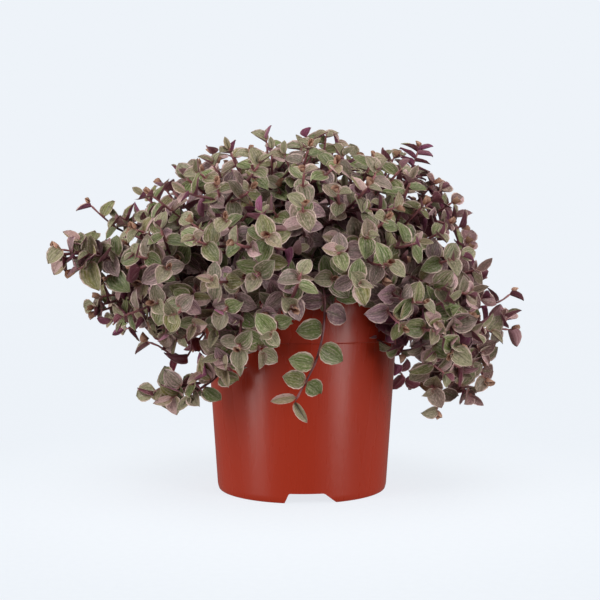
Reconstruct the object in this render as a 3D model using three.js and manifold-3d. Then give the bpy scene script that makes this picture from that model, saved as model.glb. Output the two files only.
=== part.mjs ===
// A turtle vine in its nursery pot: a mound of leafy stems that grow from peat and trail over the rim.
// Units are millimetres, +Z is up, and the origin is the centre of the pot's foot. The front faces -Y.
import * as THREE from "three";
import { mergeVertices } from "three/addons/utils/BufferGeometryUtils.js";
import Module from "manifold-3d";

const wasm = await Module();
wasm.setup();

// Pot: outside sizes, and the offsets of its lip, edges and foot ring
const POT_HEIGHT = 117;
const RIM_RADIUS = 60;
const RIM_HEIGHT = 26;
const RIM_DRAFT = 0.8;
const RIM_STEP = 1.0;
const LIP = { width: 1.4, round: 0.3, height: 1.2 };
const FOOT_RADIUS = 52;
const FOOT_RING = 1.8;
const FOOT_ROUND = { height: 2.4, depth: 0.8 };
const WALL = 1.3;
const FLOOR_HEIGHT = 5.6;
const POT_SIDES = 36;
// Notches in the foot ring, seen from outside: where the foot and the flat top of each begin and end
const NOTCHES = 3;
const NOTCH = { left: -9.5, leftTop: -7, rightTop: 11, right: 19, flare: 1, flareHeight: 0.4 };
const NOTCH_REACH = 14;
const DRAINS = 6;
const DRAIN_RADIUS = 4;
const DRAIN_RING = 37;
const DRAIN_SIDES = 8;

// Peat, with the holes that the stems stand in
const PEAT_TOP = 104;
const PEAT_CROWN = 2.5;
const PEAT_GAP = 0.3;
const PEAT_INSET = 0.6;
const PEAT_SIDES = 24;
const PEAT_EDGE = { width: 2.5, drop: 3 };
const HOLE_DEPTH = 7;
const HOLE_CLEARANCE = 1.1;
const HOLE_SIDES = 4;
const COLLAR = 4;

// Mound of foliage: its middle and, tier by tier, how the shoots fan out from it.
// polar is the angle from straight up, reach the distance from the middle, root the ring in the peat,
// climb how high a stem heads before it leans out, and a tier fans over arc degrees from first.
const MOUND = new THREE.Vector3(-5, -4, 112);
const TIERS = [
  { polar: 13, reach: 102, shoots: 4, root: 6, climb: 30, first: 20, arc: 360 },
  { polar: 35, reach: 107, shoots: 8, root: 17, climb: 34, first: 50, arc: 360 },
  { polar: 57, reach: 113, shoots: 14, root: 28, climb: 42, first: 13, arc: 360 },
  { polar: 78, reach: 117, shoots: 16, root: 38, climb: 68, first: 20, arc: 360 },
  { polar: 97, reach: 117, shoots: 8, root: 45, climb: 76, first: 24, arc: 160 },
  { polar: 96, reach: 118, shoots: 2, root: 45, climb: 76, first: 212, arc: 46 },
  { polar: 98, reach: 111, shoots: 2, root: 45, climb: 76, first: 247, arc: 40 },
  { polar: 105, reach: 110, shoots: 2, root: 45, climb: 76, first: 305, arc: 40 },
  { polar: 115, reach: 115, shoots: 4, root: 50, climb: 72, first: 40, arc: 120 },
];
const FRONT_LIFT = 8;
const REACH_SPREAD = 13;
const REACH_MIDDLE = 0.6;
const POLAR_SPREAD = 3;
const AZIMUTH_SPREAD = 4;
const AIM_SPREAD = 0.2;
const AIM_LIFT = 0.35;
const LEAD = 0.3;
const FORK = 0.45;
const FORK_LEAD = 14;
const RISE_OUT = 0.2;
const LOWEST_LEAF = 0.05;

// Stems and leaves
const STEM = { radius: 1.35, sides: 3, steps: 6 };
const BRANCH = { radius: 1.3, sides: 3, steps: 2 };
const TRAILER = { radius: 1.1, sides: 4, steps: 8 };
const BLADE_THICKNESS = 0.7;
const BLADE_CLEARANCE = 0.3;
const BLADE_SINK = 0.45;
const FOLD = 0.3;
const DROOP = 0.16;
// Leaves from the bud down: distance from the tip, length, width, angle off the stem.
const ROSETTE = [
  { down: 1.0, long: 9.5, wide: 5.5, tilt: 26 },
  { down: 3.2, long: 13.5, wide: 11.5, tilt: 56 },
  { down: 7.0, long: 15.5, wide: 13, tilt: 74 },
  { down: 11.5, long: 16.5, wide: 13.5, tilt: 84 },
];
const LIGHT = { out: 0.82, up: 0.57 };
const TRAILER_STEP = 10;
const TRAILER_TILT = 76;
const TURN = 147;
const TRAILER_TURN = 180;
// How far leaves differ: the mean share of full size, and the spread of size, turn and tilt.
const MEAN_SIZE = 0.97;
const VARIETY = { size: 0.13, turn: 14, tilt: 9 };
const TRAILER_VARIETY = { size: 0.1, turn: 16, tilt: 8 };
// How far the faces of the mound's leaves turn to the light: the least, and the spread.
const MOUND_LIGHT = { least: 0.2, spread: 0.25 };
// Half of a blade's outline between foot and tip: how far along, and how wide. A bud has one corner.
const LEAF_OUTLINE = [[0.27, 0.96], [0.66, 0.8]];
const BUD_OUTLINE = [[0.4, 1]];
// What a leaf tries, in turn, to stay clear of its neighbours: turn round the stem, and tilt off it.
const TRIES = [
  [0, 0], [22, 0], [-22, 0], [0, 16], [0, -16], [40, 8], [-40, 8], [60, 0],
  [-60, 0], [22, -24], [-22, -24], [85, 10], [-85, 10], [0, -34], [120, 0], [180, 0],
];

// Stems that stand out of the mound or trail: the route from the peat to the tip, how many leaves,
// how far these are rolled round the stem from level, and how far their upper faces turn from the
// tip to the light, and where that is if not outwards.
const TRAILERS = [
  {
    name: "spray_left", leaves: 8, roll: 90, light: 0.75, towards: [-0.35, -1, 0.35],
    route: [
      [-50, -16, 108], [-58, -19, 128], [-88, -38, 137], [-113, -50, 140], [-136.5, -58, 144],
    ],
  },
  {
    name: "sprig_upper_left", leaves: 6, roll: 90, light: 0.2,
    route: [
      [-46, 4, 108], [-54, 5, 130], [-84, 6, 148], [-112, 4, 158], [-124, 1, 167], [-132, -2, 175],
    ],
  },
  {
    name: "sprig_upper_right", leaves: 7, roll: 90, light: 0.1,
    route: [
      [19, 6, 108], [20, 6, 122], [34, 4, 147], [50, 2, 168], [62, 0, 185], [68, -1, 197],
      [73, -2, 210],
    ],
  },
  {
    name: "sprig_right", leaves: 6, roll: 90, light: 0.2,
    route: [
      [52, 6, 108], [60, 8, 128], [82, 12, 124], [106, 15, 111], [124, 17, 113], [135, 18, 120],
    ],
  },
  {
    name: "sprig_right_low", leaves: 6, roll: 80, light: 0.6, towards: [0.3, 0.9, 0.5],
    route: [[52, -8, 108], [60, -10, 130], [78, -13, 125], [98, -15, 108], [114, -16, 99], [127, -16, 97]],
  },
  {
    name: "trailer_right_low", leaves: 7, roll: 70, light: 0.6, towards: [0.3, -1, 0.3],
    route: [
      [49, -18, 108], [58, -22, 130], [74, -27, 122], [82, -28, 92], [82, -26, 66], [80, -24, 48],
    ],
  },
  {
    name: "trailer_right", leaves: 7, roll: 60, light: 0.7, towards: [0.3, -1, 0.4],
    route: [[42, -30, 108], [49, -37, 128], [64, -49, 128], [79, -59, 110], [88, -62, 90]],
  },
  {
    name: "trailer_right_back", leaves: 6, roll: 80, light: 0.5,
    route: [[50, 15, 108], [60, 18, 130], [78, 22, 124], [94, 24, 102], [104, 22, 82], [107, 18, 66]],
  },
  {
    name: "trailer_left_low", leaves: 6, roll: 90, light: 0.75, towards: [-0.2, -1, 0.3],
    route: [
      [-27, -45, 108], [-31, -54, 128], [-37, -67, 114], [-39, -67, 84], [-51, -62, 71],
      [-68, -57, 68], [-79, -54, 62],
    ],
  },
  {
    name: "runner_left", leaves: 4, roll: 70, light: 0.3,
    route: [
      [-46, -25, 108], [-54, -29, 128], [-65, -33, 110], [-65, -32, 86], [-73, -30, 81],
      [-84, -30, 88], [-92, -30, 91],
    ],
  },
  {
    name: "trailer_front", leaves: 7, roll: 0, light: 0.8,
    route: [
      [9, -51, 108], [10, -58, 127], [12, -71, 119], [12, -74, 104], [8, -76, 84], [-4, -75, 60],
    ],
  },
];
const TRAILER_SEED = 100;

const UP = new THREE.Vector3(0, 0, 1);
const radians = THREE.MathUtils.degToRad;
const vec = (x, y, z) => new THREE.Vector3(x, y, z);

// What the draws are for
const FOR = {
  azimuth: 1, polar: 2, reach: 3, aimX: 4, aimY: 5, light: 6, size: 7, start: 8, turn: 9, tilt: 10,
};

// A number from 0 to 1 that is the same each run: one for each stem, leaf and use.
const DRAW = { prime: 2147483647, factor: 16807, small: 65521, rounds: 3 };
const DRAW_SEEDS = { stem: 7919, leaf: 104729, use: 1299709, start: 15485863 };

function chance(stem, leaf, use) {
  const { prime, factor, small, rounds } = DRAW;
  let n = stem * DRAW_SEEDS.stem + leaf * DRAW_SEEDS.leaf + use * DRAW_SEEDS.use + DRAW_SEEDS.start;
  for (let i = 0; i < rounds; i++) {
    n = ((n % prime) * factor) % prime;
    n = (n + (n % small) ** 2) % prime;
  }
  return n / prime;
}

const spread = (stem, leaf, use) => 2 * chance(stem, leaf, use) - 1;

// A three.js geometry made a solid, and a solid made a geometry again.
function solid(geometry) {
  const bare = geometry.clone();
  bare.deleteAttribute("normal");
  bare.deleteAttribute("uv");
  const merged = mergeVertices(bare, 1e-4);
  return new wasm.Manifold(
    new wasm.Mesh({
      numProp: 3,
      vertProperties: new Float32Array(merged.attributes.position.array),
      triVerts: new Uint32Array(merged.index.array),
    }),
  );
}

function geometryOf(made) {
  const mesh = made.getMesh();
  const geometry = new THREE.BufferGeometry();
  geometry.setAttribute("position", new THREE.BufferAttribute(mesh.vertProperties, 3));
  geometry.setIndex(new THREE.BufferAttribute(mesh.triVerts, 1));
  const facets = geometry.toNonIndexed();
  facets.computeVertexNormals();
  return facets;
}

function lathe(profile, sides) {
  const points = profile.map(([r, z]) => new THREE.Vector2(r, z));
  return solid(new THREE.LatheGeometry(points, sides).rotateX(Math.PI / 2));
}

// Sizes of the pot that follow from the driving ones
const RIM_FOOT = POT_HEIGHT - RIM_HEIGHT;
const RIM_FOOT_RADIUS = RIM_RADIUS - RIM_DRAFT;
const BODY_TOP_RADIUS = RIM_FOOT_RADIUS - RIM_STEP;
const RING_RADIUS = FOOT_RADIUS - FOOT_ROUND.depth;
const FLOOR_TOP = FLOOR_HEIGHT + WALL;

function makePot() {
  let pot = lathe(
    [
      [0, FLOOR_HEIGHT],
      [FOOT_RADIUS - WALL - FOOT_RING, FLOOR_HEIGHT],
      [RING_RADIUS - FOOT_RING, 0],
      [RING_RADIUS, 0],
      [FOOT_RADIUS - 0.25 * FOOT_ROUND.depth, 0.35 * FOOT_ROUND.height],
      [FOOT_RADIUS, FOOT_ROUND.height],
      [BODY_TOP_RADIUS, RIM_FOOT],
      [RIM_FOOT_RADIUS, RIM_FOOT],
      [RIM_RADIUS, POT_HEIGHT - LIP.height],
      [RIM_RADIUS - LIP.round, POT_HEIGHT],
      [RIM_RADIUS - LIP.width, POT_HEIGHT],
      [RIM_FOOT_RADIUS - WALL, RIM_FOOT + WALL],
      [BODY_TOP_RADIUS - WALL, RIM_FOOT - WALL],
      [FOOT_RADIUS - WALL, FLOOR_TOP],
      [0, FLOOR_TOP],
    ],
    POT_SIDES,
  );
  const corner = (x, z) => new THREE.Vector2(x, z);
  const mouth = new THREE.Shape([
    corner(NOTCH.left - NOTCH.flare, -NOTCH.flare),
    corner(NOTCH.left, NOTCH.flareHeight),
    corner(NOTCH.leftTop, FLOOR_HEIGHT),
    corner(NOTCH.rightTop, FLOOR_HEIGHT),
    corner(NOTCH.right, NOTCH.flareHeight),
    corner(NOTCH.right + NOTCH.flare, -NOTCH.flare),
  ]);
  for (let i = 0; i < NOTCHES; i++) {
    const cut = new THREE.ExtrudeGeometry(mouth, { depth: NOTCH_REACH, bevelEnabled: false })
      .rotateX(Math.PI / 2)
      .translate(0, NOTCH_REACH - FOOT_RADIUS - NOTCH.flare, 0)
      .rotateZ((2 * Math.PI * i) / NOTCHES);
    pot = pot.subtract(solid(cut));
  }
  for (let i = 0; i < DRAINS; i++) {
    const angle = (2 * Math.PI * (i + 0.5)) / DRAINS;
    const drain = new THREE.CylinderGeometry(DRAIN_RADIUS, DRAIN_RADIUS, 4 * WALL, DRAIN_SIDES)
      .rotateX(Math.PI / 2)
      .translate(DRAIN_RING * Math.cos(angle), DRAIN_RING * Math.sin(angle), FLOOR_HEIGHT);
    pot = pot.subtract(solid(drain));
  }
  return pot;
}

// Peat that fills the pot, with a plain hole for each stem
function makePeat(roots) {
  const topRadius = BODY_TOP_RADIUS - WALL - PEAT_GAP - PEAT_INSET;
  let peat = lathe(
    [
      [0, FLOOR_TOP + PEAT_GAP],
      [FOOT_RADIUS - WALL - PEAT_GAP - PEAT_INSET, FLOOR_TOP + PEAT_GAP],
      [topRadius, RIM_FOOT - WALL],
      [topRadius, PEAT_TOP - PEAT_EDGE.drop],
      [topRadius - PEAT_EDGE.width, PEAT_TOP],
      [topRadius / 3, PEAT_TOP + 0.7 * PEAT_CROWN],
      [0, PEAT_TOP + PEAT_CROWN],
    ],
    PEAT_SIDES,
  );
  const width = (STEM.radius + HOLE_CLEARANCE) / Math.cos(Math.PI / HOLE_SIDES);
  const depth = HOLE_DEPTH + 2 * PEAT_CROWN;
  for (const root of roots) {
    const hole = new THREE.CylinderGeometry(width, width, depth, HOLE_SIDES)
      .rotateX(Math.PI / 2)
      .translate(root.x, root.y, PEAT_TOP - HOLE_DEPTH + depth / 2);
    peat = peat.subtract(solid(hole));
  }
  return peat;
}

// A shoot's path: the peat holds the first stretch of a stem upright.
function smooth(points) {
  return new THREE.CatmullRomCurve3(points, false, "catmullrom", 0.5);
}

function stemPath(points) {
  const foot = points[0].clone();
  foot.z = PEAT_TOP - HOLE_DEPTH + PEAT_GAP;
  return smooth([foot, ...points]);
}

// From foot to tip in a bow, as the few points that a smooth path runs through.
function bow(foot, rise, tip, count) {
  const lead = tip.end.clone().addScaledVector(tip.aim, -LEAD * foot.distanceTo(tip.end));
  return new THREE.CubicBezierCurve3(foot, rise, lead, tip.end).getPoints(count);
}

function tube(shoot) {
  const corners = [];
  for (let i = 0; i < shoot.sides; i++) {
    const angle = (2 * Math.PI * (i + 0.5)) / shoot.sides;
    corners.push(new THREE.Vector2(shoot.radius * Math.cos(angle), shoot.radius * Math.sin(angle)));
  }
  const options = { steps: shoot.steps, bevelEnabled: false, extrudePath: shoot.path };
  return solid(new THREE.ExtrudeGeometry(new THREE.Shape(corners), options));
}

// A place on the middle line of a shoot's tube, whose steps are straight, and the way it runs there.
function onTube(shoot, share) {
  const at = shoot.steps * share;
  const piece = Math.min(Math.floor(at), shoot.steps - 1);
  const low = shoot.path.getPointAt(piece / shoot.steps);
  const high = shoot.path.getPointAt((piece + 1) / shoot.steps);
  const along = high.clone().sub(low).normalize();
  return { foot: low.lerp(high, at - piece), along };
}

// Where a leaf stands: its foot on the stem, the way it points, the way its upper face looks.
function leafPose(shoot, leaf, turn, tilt) {
  const share = Math.max(LOWEST_LEAF, 1 - leaf.down / shoot.path.getLength());
  const { foot, along } = onTube(shoot, share);
  const flat = vec(foot.x - MOUND.x, foot.y - MOUND.y, 0).normalize();
  const lit = shoot.towards ?? flat.clone().multiplyScalar(LIGHT.out).addScaledVector(UP, LIGHT.up);
  const side = vec(-flat.y, flat.x, 0);
  side.addScaledVector(along, -side.dot(along)).normalize();
  const other = along.clone().cross(side);
  const round = radians(leaf.turn + turn);
  const off = radians(leaf.tilt + tilt);
  const out = side.multiplyScalar(Math.cos(round)).addScaledVector(other, Math.sin(round));
  const point = along.clone().multiplyScalar(Math.cos(off)).addScaledVector(out, Math.sin(off));
  const face = along.clone().multiplyScalar(Math.sin(off)).addScaledVector(out, -Math.cos(off));
  face.multiplyScalar(1 - shoot.light).addScaledVector(lit, shoot.light);
  face.addScaledVector(point, -face.dot(point)).normalize();
  foot.addScaledVector(point, BLADE_SINK);
  return { foot, point, face, across: point.clone().cross(face) };
}

// A leaf blade: a plate with an ovate outline, folded along its midrib and drooping to the tip.
function blade(pose, leaf, outline, grow) {
  const wide = leaf.wide / 2 + grow;
  const half = BLADE_THICKNESS / 2 + grow;
  const right = outline.map(([u, w]) => [u, w]);
  const left = outline.map(([u, w]) => [u, -w]).reverse();
  const ring = [[0, 0], ...right, [1, 0], ...left];
  const tip = right.length + 1;
  const points = [];
  for (const lift of [half, -half]) {
    for (const [u, w] of ring) {
      const raised = FOLD * Math.abs(w) * wide - DROOP * leaf.long * u * u + lift;
      const spot = pose.foot
        .clone()
        .addScaledVector(pose.point, u * (leaf.long + grow))
        .addScaledVector(pose.across, w * wide)
        .addScaledVector(pose.face, raised);
      points.push(spot.x, spot.y, spot.z);
    }
  }
  const n = ring.length;
  const faces = [];
  for (let i = 0; i < n; i++) {
    const next = (i + 1) % n;
    faces.push(i, n + i, next, next, n + i, n + next);
    if (i !== tip && next !== tip) {
      faces.push(tip, i, next, n + tip, n + next, n + i);
    }
  }
  const geometry = new THREE.BufferGeometry();
  geometry.setAttribute("position", new THREE.Float32BufferAttribute(points, 3));
  geometry.setIndex(faces);
  return solid(geometry);
}

// The leaves of one shoot of the mound, from the bud down
function rosette(number, which) {
  const start = 360 * chance(number, which, FOR.start);
  return ROSETTE.map((leaf, k) => {
    const draw = 10 * which + k;
    const size = MEAN_SIZE + VARIETY.size * spread(number, draw, FOR.size);
    return {
      down: leaf.down,
      long: leaf.long * size,
      wide: leaf.wide * size,
      turn: start + TURN * k + VARIETY.turn * spread(number, draw, FOR.turn),
      tilt: leaf.tilt + VARIETY.tilt * spread(number, draw, FOR.tilt),
    };
  });
}

// Where one shoot of a tier ends, and the way that its tip aims
function shootTip(tier, place, number, which) {
  const azimuth = radians(place + AZIMUTH_SPREAD * spread(number, which, FOR.azimuth));
  const front = Math.max(0, -Math.sin(azimuth)) ** 2;
  const lift = (FRONT_LIFT * front * tier.polar) / 90;
  const polar = radians(tier.polar - lift + POLAR_SPREAD * spread(number, which, FOR.polar));
  const reach = tier.reach + REACH_SPREAD * (chance(number, which, FOR.reach) - REACH_MIDDLE);
  const out = vec(
    Math.cos(azimuth) * Math.sin(polar),
    Math.sin(azimuth) * Math.sin(polar),
    Math.cos(polar),
  );
  const aim = out.clone().addScaledVector(UP, AIM_LIFT * Math.sin(polar));
  aim.x += AIM_SPREAD * spread(number, which, FOR.aimX);
  aim.y += AIM_SPREAD * spread(number, which, FOR.aimY);
  return { end: MOUND.clone().addScaledVector(out, reach), aim: aim.normalize() };
}

// A stem of the mound: it forks once, and each of its two shoots ends in a rosette.
function makeStem(tier, pair, number) {
  const step = tier.arc / tier.shoots;
  const place = tier.first + 2 * step * pair;
  const middle = radians(place + step / 2);
  const root = vec(tier.root * Math.cos(middle), tier.root * Math.sin(middle), PEAT_TOP + COLLAR);
  const rise = root.clone().addScaledVector(UP, tier.climb);
  rise.addScaledVector(vec(Math.cos(middle), Math.sin(middle), 0), RISE_OUT * tier.root);
  const main = { ...STEM, path: stemPath(bow(root, rise, shootTip(tier, place, number, 0), 4)) };
  const fork = onTube(main, FORK);
  const turnOff = fork.foot.clone().addScaledVector(fork.along, FORK_LEAD);
  const path = smooth(bow(fork.foot, turnOff, shootTip(tier, place + step, number, 1), 3));
  const light = MOUND_LIGHT.least + MOUND_LIGHT.spread * chance(number, 0, FOR.light);
  return {
    name: "leafy_stem_" + String(number + 1).padStart(2, "0"),
    root,
    shoots: [
      { ...main, light, leaves: rosette(number, 0) },
      { ...BRANCH, path, light, leaves: rosette(number, 1) },
    ],
  };
}

function makeTrailer(trailer, index) {
  const points = trailer.route.map((place) => vec(...place));
  const number = TRAILER_SEED + index;
  const leaves = [];
  for (let k = 0; k < trailer.leaves; k++) {
    const age = ROSETTE[Math.min(k, ROSETTE.length - 1)];
    const size = MEAN_SIZE + TRAILER_VARIETY.size * spread(number, k, FOR.size);
    leaves.push({
      down: k < 2 ? age.down : ROSETTE[1].down + TRAILER_STEP * (k - 1),
      long: age.long * size,
      wide: age.wide * size,
      turn: trailer.roll + TRAILER_TURN * k + TRAILER_VARIETY.turn * spread(number, k, FOR.turn),
      tilt: Math.min(age.tilt, TRAILER_TILT) + TRAILER_VARIETY.tilt * spread(number, k, FOR.tilt),
    });
  }
  const towards = trailer.towards && vec(...trailer.towards).normalize();
  const shoot = { ...TRAILER, path: stemPath(points), light: trailer.light, towards, leaves };
  return { name: trailer.name, root: points[0], shoots: [shoot] };
}

function moundStems() {
  const stems = [];
  for (const tier of TIERS) {
    for (let pair = 0; pair < tier.shoots / 2; pair++) {
      stems.push(makeStem(tier, pair, stems.length));
    }
  }
  return stems;
}

// What stands so far: the pot and every stem first, and then each leaf in its turn.
const standing = [];

function stand(owner, made, isLeaf) {
  standing.push({ owner, made, isLeaf, box: made.boundingBox() });
}

function apart(a, b) {
  return [0, 1, 2].some((i) => a.min[i] > b.max[i] || b.min[i] > a.max[i]);
}

// A leaf is clear if it meets nothing but its own stem.
function isClear(owner, made) {
  const box = made.boundingBox();
  return standing.every((other) => {
    if (apart(box, other.box) || (other.owner === owner && !other.isLeaf)) return true;
    return made.intersect(other.made).isEmpty();
  });
}

// A leaf takes the first of its tries that is clear, and isn't grown where none is.
function growLeaf(plant, shoot, leaf, outline) {
  for (const [turn, tilt] of TRIES) {
    const pose = leafPose(shoot, leaf, turn, tilt);
    const roomy = blade(pose, leaf, outline, BLADE_CLEARANCE);
    if (isClear(plant.name, roomy)) {
      plant.bodies.push(blade(pose, leaf, outline, 0));
      stand(plant.name, roomy, true);
      return;
    }
  }
}

const plants = [...TRAILERS.map(makeTrailer), ...moundStems()];
const pot = makePot();
const peat = makePeat(plants.map((plant) => plant.root));
stand("pot", pot, false);
for (const plant of plants) {
  plant.bodies = plant.shoots.map(tube);
  for (const made of plant.bodies) {
    stand(plant.name, made, false);
  }
}

// The buds of all the shoots come first, then the next leaf down of each.
const mostLeaves = Math.max(...TRAILERS.map((trailer) => trailer.leaves));
for (let k = 0; k < mostLeaves; k++) {
  for (const plant of plants) {
    for (const shoot of plant.shoots) {
      if (k < shoot.leaves.length) {
        growLeaf(plant, shoot, shoot.leaves[k], k === 0 ? BUD_OUTLINE : LEAF_OUTLINE);
      }
    }
  }
}

const group = new THREE.Group();

function add(name, made, look) {
  const mesh = new THREE.Mesh(geometryOf(made), new THREE.MeshStandardMaterial(look));
  mesh.name = name;
  group.add(mesh);
}

add("pot", pot, { color: 0x9a3b26, roughness: 0.38, metalness: 0 });
add("peat", peat, { color: 0x2b1d16, roughness: 0.95, metalness: 0 });
for (const plant of plants) {
  const whole = wasm.Manifold.union(plant.bodies);
  add(plant.name, whole, { color: 0x7a7460, roughness: 0.5, metalness: 0 });
}

export default group;
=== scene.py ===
import math
from itertools import pairwise

import bmesh
import bpy
import numpy as np
from bpy.props import FloatProperty, FloatVectorProperty, IntProperty, PointerProperty
from mathutils import Matrix, Vector, noise
from mathutils.geometry import interpolate_bezier
from mathutils.kdtree import KDTree


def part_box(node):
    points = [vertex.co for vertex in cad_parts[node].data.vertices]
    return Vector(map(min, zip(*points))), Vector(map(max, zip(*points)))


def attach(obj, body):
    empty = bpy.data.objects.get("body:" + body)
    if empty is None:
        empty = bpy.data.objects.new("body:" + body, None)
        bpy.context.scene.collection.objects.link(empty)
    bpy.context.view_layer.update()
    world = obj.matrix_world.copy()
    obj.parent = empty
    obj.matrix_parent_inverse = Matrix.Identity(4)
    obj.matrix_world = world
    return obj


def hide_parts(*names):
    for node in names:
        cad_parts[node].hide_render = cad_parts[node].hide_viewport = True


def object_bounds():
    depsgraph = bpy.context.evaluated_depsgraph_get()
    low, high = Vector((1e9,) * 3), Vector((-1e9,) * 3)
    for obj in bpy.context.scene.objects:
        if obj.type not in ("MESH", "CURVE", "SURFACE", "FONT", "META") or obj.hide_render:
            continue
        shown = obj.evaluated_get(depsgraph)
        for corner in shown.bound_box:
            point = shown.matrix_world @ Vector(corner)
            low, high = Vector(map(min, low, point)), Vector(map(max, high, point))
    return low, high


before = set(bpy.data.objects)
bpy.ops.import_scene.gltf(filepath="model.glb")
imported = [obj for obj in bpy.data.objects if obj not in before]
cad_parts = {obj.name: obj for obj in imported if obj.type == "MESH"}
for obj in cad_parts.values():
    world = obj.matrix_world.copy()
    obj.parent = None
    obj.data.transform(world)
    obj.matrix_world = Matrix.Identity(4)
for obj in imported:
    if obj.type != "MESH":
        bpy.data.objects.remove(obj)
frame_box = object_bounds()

bl_info = {
    "name": "Potted turtle vine",
    "version": (1, 0, 0),
    "blender": (4, 5, 0),
    "location": "View3D > Sidebar > Turtle Vine",
    "description": "A mound of variegated leafy stems that trail over the rim of a nursery pot",
    "category": "Add Mesh",
}

BODY = "root"
MM = 0.001
UP = Vector((0, 0, 1))


def paint(red, green, blue):
    """A colour as a paint chart gives it, from 0 to 255, as the linear colour that a shader takes."""
    share = (part / 255 for part in (red, green, blue))
    return tuple(s / 12.92 if s <= 0.04045 else ((s + 0.055) / 1.055) ** 2.4 for s in share)


# The plan that the stems grow by, in millimetres and degrees: the mound's middle, and how its shoots
# fan out, tier by tier. polar is the angle from straight up, reach the distance from the middle, root
# the ring in the peat, climb how high a stem heads before it leans out, and a tier fans over arc from
# first.
MOUND = Vector((-5, -4, 112))
TIERS = [
    {"polar": 13, "reach": 102, "shoots": 4, "root": 6, "climb": 30, "first": 20, "arc": 360},
    {"polar": 35, "reach": 107, "shoots": 8, "root": 17, "climb": 34, "first": 50, "arc": 360},
    {"polar": 57, "reach": 113, "shoots": 14, "root": 28, "climb": 42, "first": 13, "arc": 360},
    {"polar": 78, "reach": 117, "shoots": 16, "root": 38, "climb": 68, "first": 20, "arc": 360},
    {"polar": 97, "reach": 117, "shoots": 8, "root": 45, "climb": 76, "first": 24, "arc": 160},
    {"polar": 96, "reach": 118, "shoots": 2, "root": 45, "climb": 76, "first": 212, "arc": 46},
    {"polar": 98, "reach": 111, "shoots": 2, "root": 45, "climb": 76, "first": 247, "arc": 40},
    {"polar": 105, "reach": 110, "shoots": 2, "root": 45, "climb": 76, "first": 305, "arc": 40},
    {"polar": 115, "reach": 115, "shoots": 4, "root": 50, "climb": 72, "first": 40, "arc": 120},
]
# Where the peat ends, how far above it a stem's route begins, and how deep its foot stands
PEAT_TOP = 104
COLLAR = 4
STEM_FOOT = 97.3
# How much higher the shoots at the front aim, and how far each may stray from the plan
FRONT_LIFT = 8
REACH_SPREAD = 13
REACH_MIDDLE = 0.6
POLAR_SPREAD = 3
AZIMUTH_SPREAD = 4
AIM_SPREAD = 0.2
# How far a tip turns up, and how the bow that leads to it leaves its stem or the peat
AIM_LIFT = 0.35
LEAD = 0.3
FORK = 0.45
FORK_LEAD = 14
RISE_OUT = 0.2
LOWEST_LEAF = 0.05
BOW_POINTS = 4
BRANCH_POINTS = 3

# How many straight steps the frame's tubes have, which its leaves stand on
STEM_STEPS = 6
BRANCH_STEPS = 2
TRAILER_STEPS = 8

# Leaves from the bud down: distance from the tip, length, width, angle off the stem
ROSETTE = [
    {"down": 1.0, "long": 9.5, "wide": 5.5, "tilt": 26},
    {"down": 3.2, "long": 13.5, "wide": 11.5, "tilt": 56},
    {"down": 7.0, "long": 15.5, "wide": 13, "tilt": 74},
    {"down": 11.5, "long": 16.5, "wide": 13.5, "tilt": 84},
]
# The frame's own blades: how deep the foot sinks in the stem, half the thickness, how far the tip droops
BLADE_SINK = 0.45
HALF_BLADE = 0.35
DROOP = 0.16
# Where a leaf's light comes from, seen from the mound's middle
LIGHT = {"out": 0.82, "up": 0.57}
# How the leaves follow one another down a stem, and how much they differ
TRAILER_STEP = 10
TRAILER_TILT = 76
TURN = 147
TRAILER_TURN = 180
MEAN_SIZE = 0.97
VARIETY = {"size": 0.13, "turn": 14, "tilt": 9}
TRAILER_VARIETY = {"size": 0.1, "turn": 16, "tilt": 8}
# How far a shoot's upper faces turn to the light
MOUND_LIGHT = {"least": 0.2, "spread": 0.25}
# Turns and tilts that the frame tried in this order to find each leaf a free place
TRIES = [
    (0, 0), (22, 0), (-22, 0), (0, 16), (0, -16), (40, 8), (-40, 8), (60, 0),
    (-60, 0), (22, -24), (-22, -24), (85, 10), (-85, 10), (0, -34), (120, 0), (180, 0),
]

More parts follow.
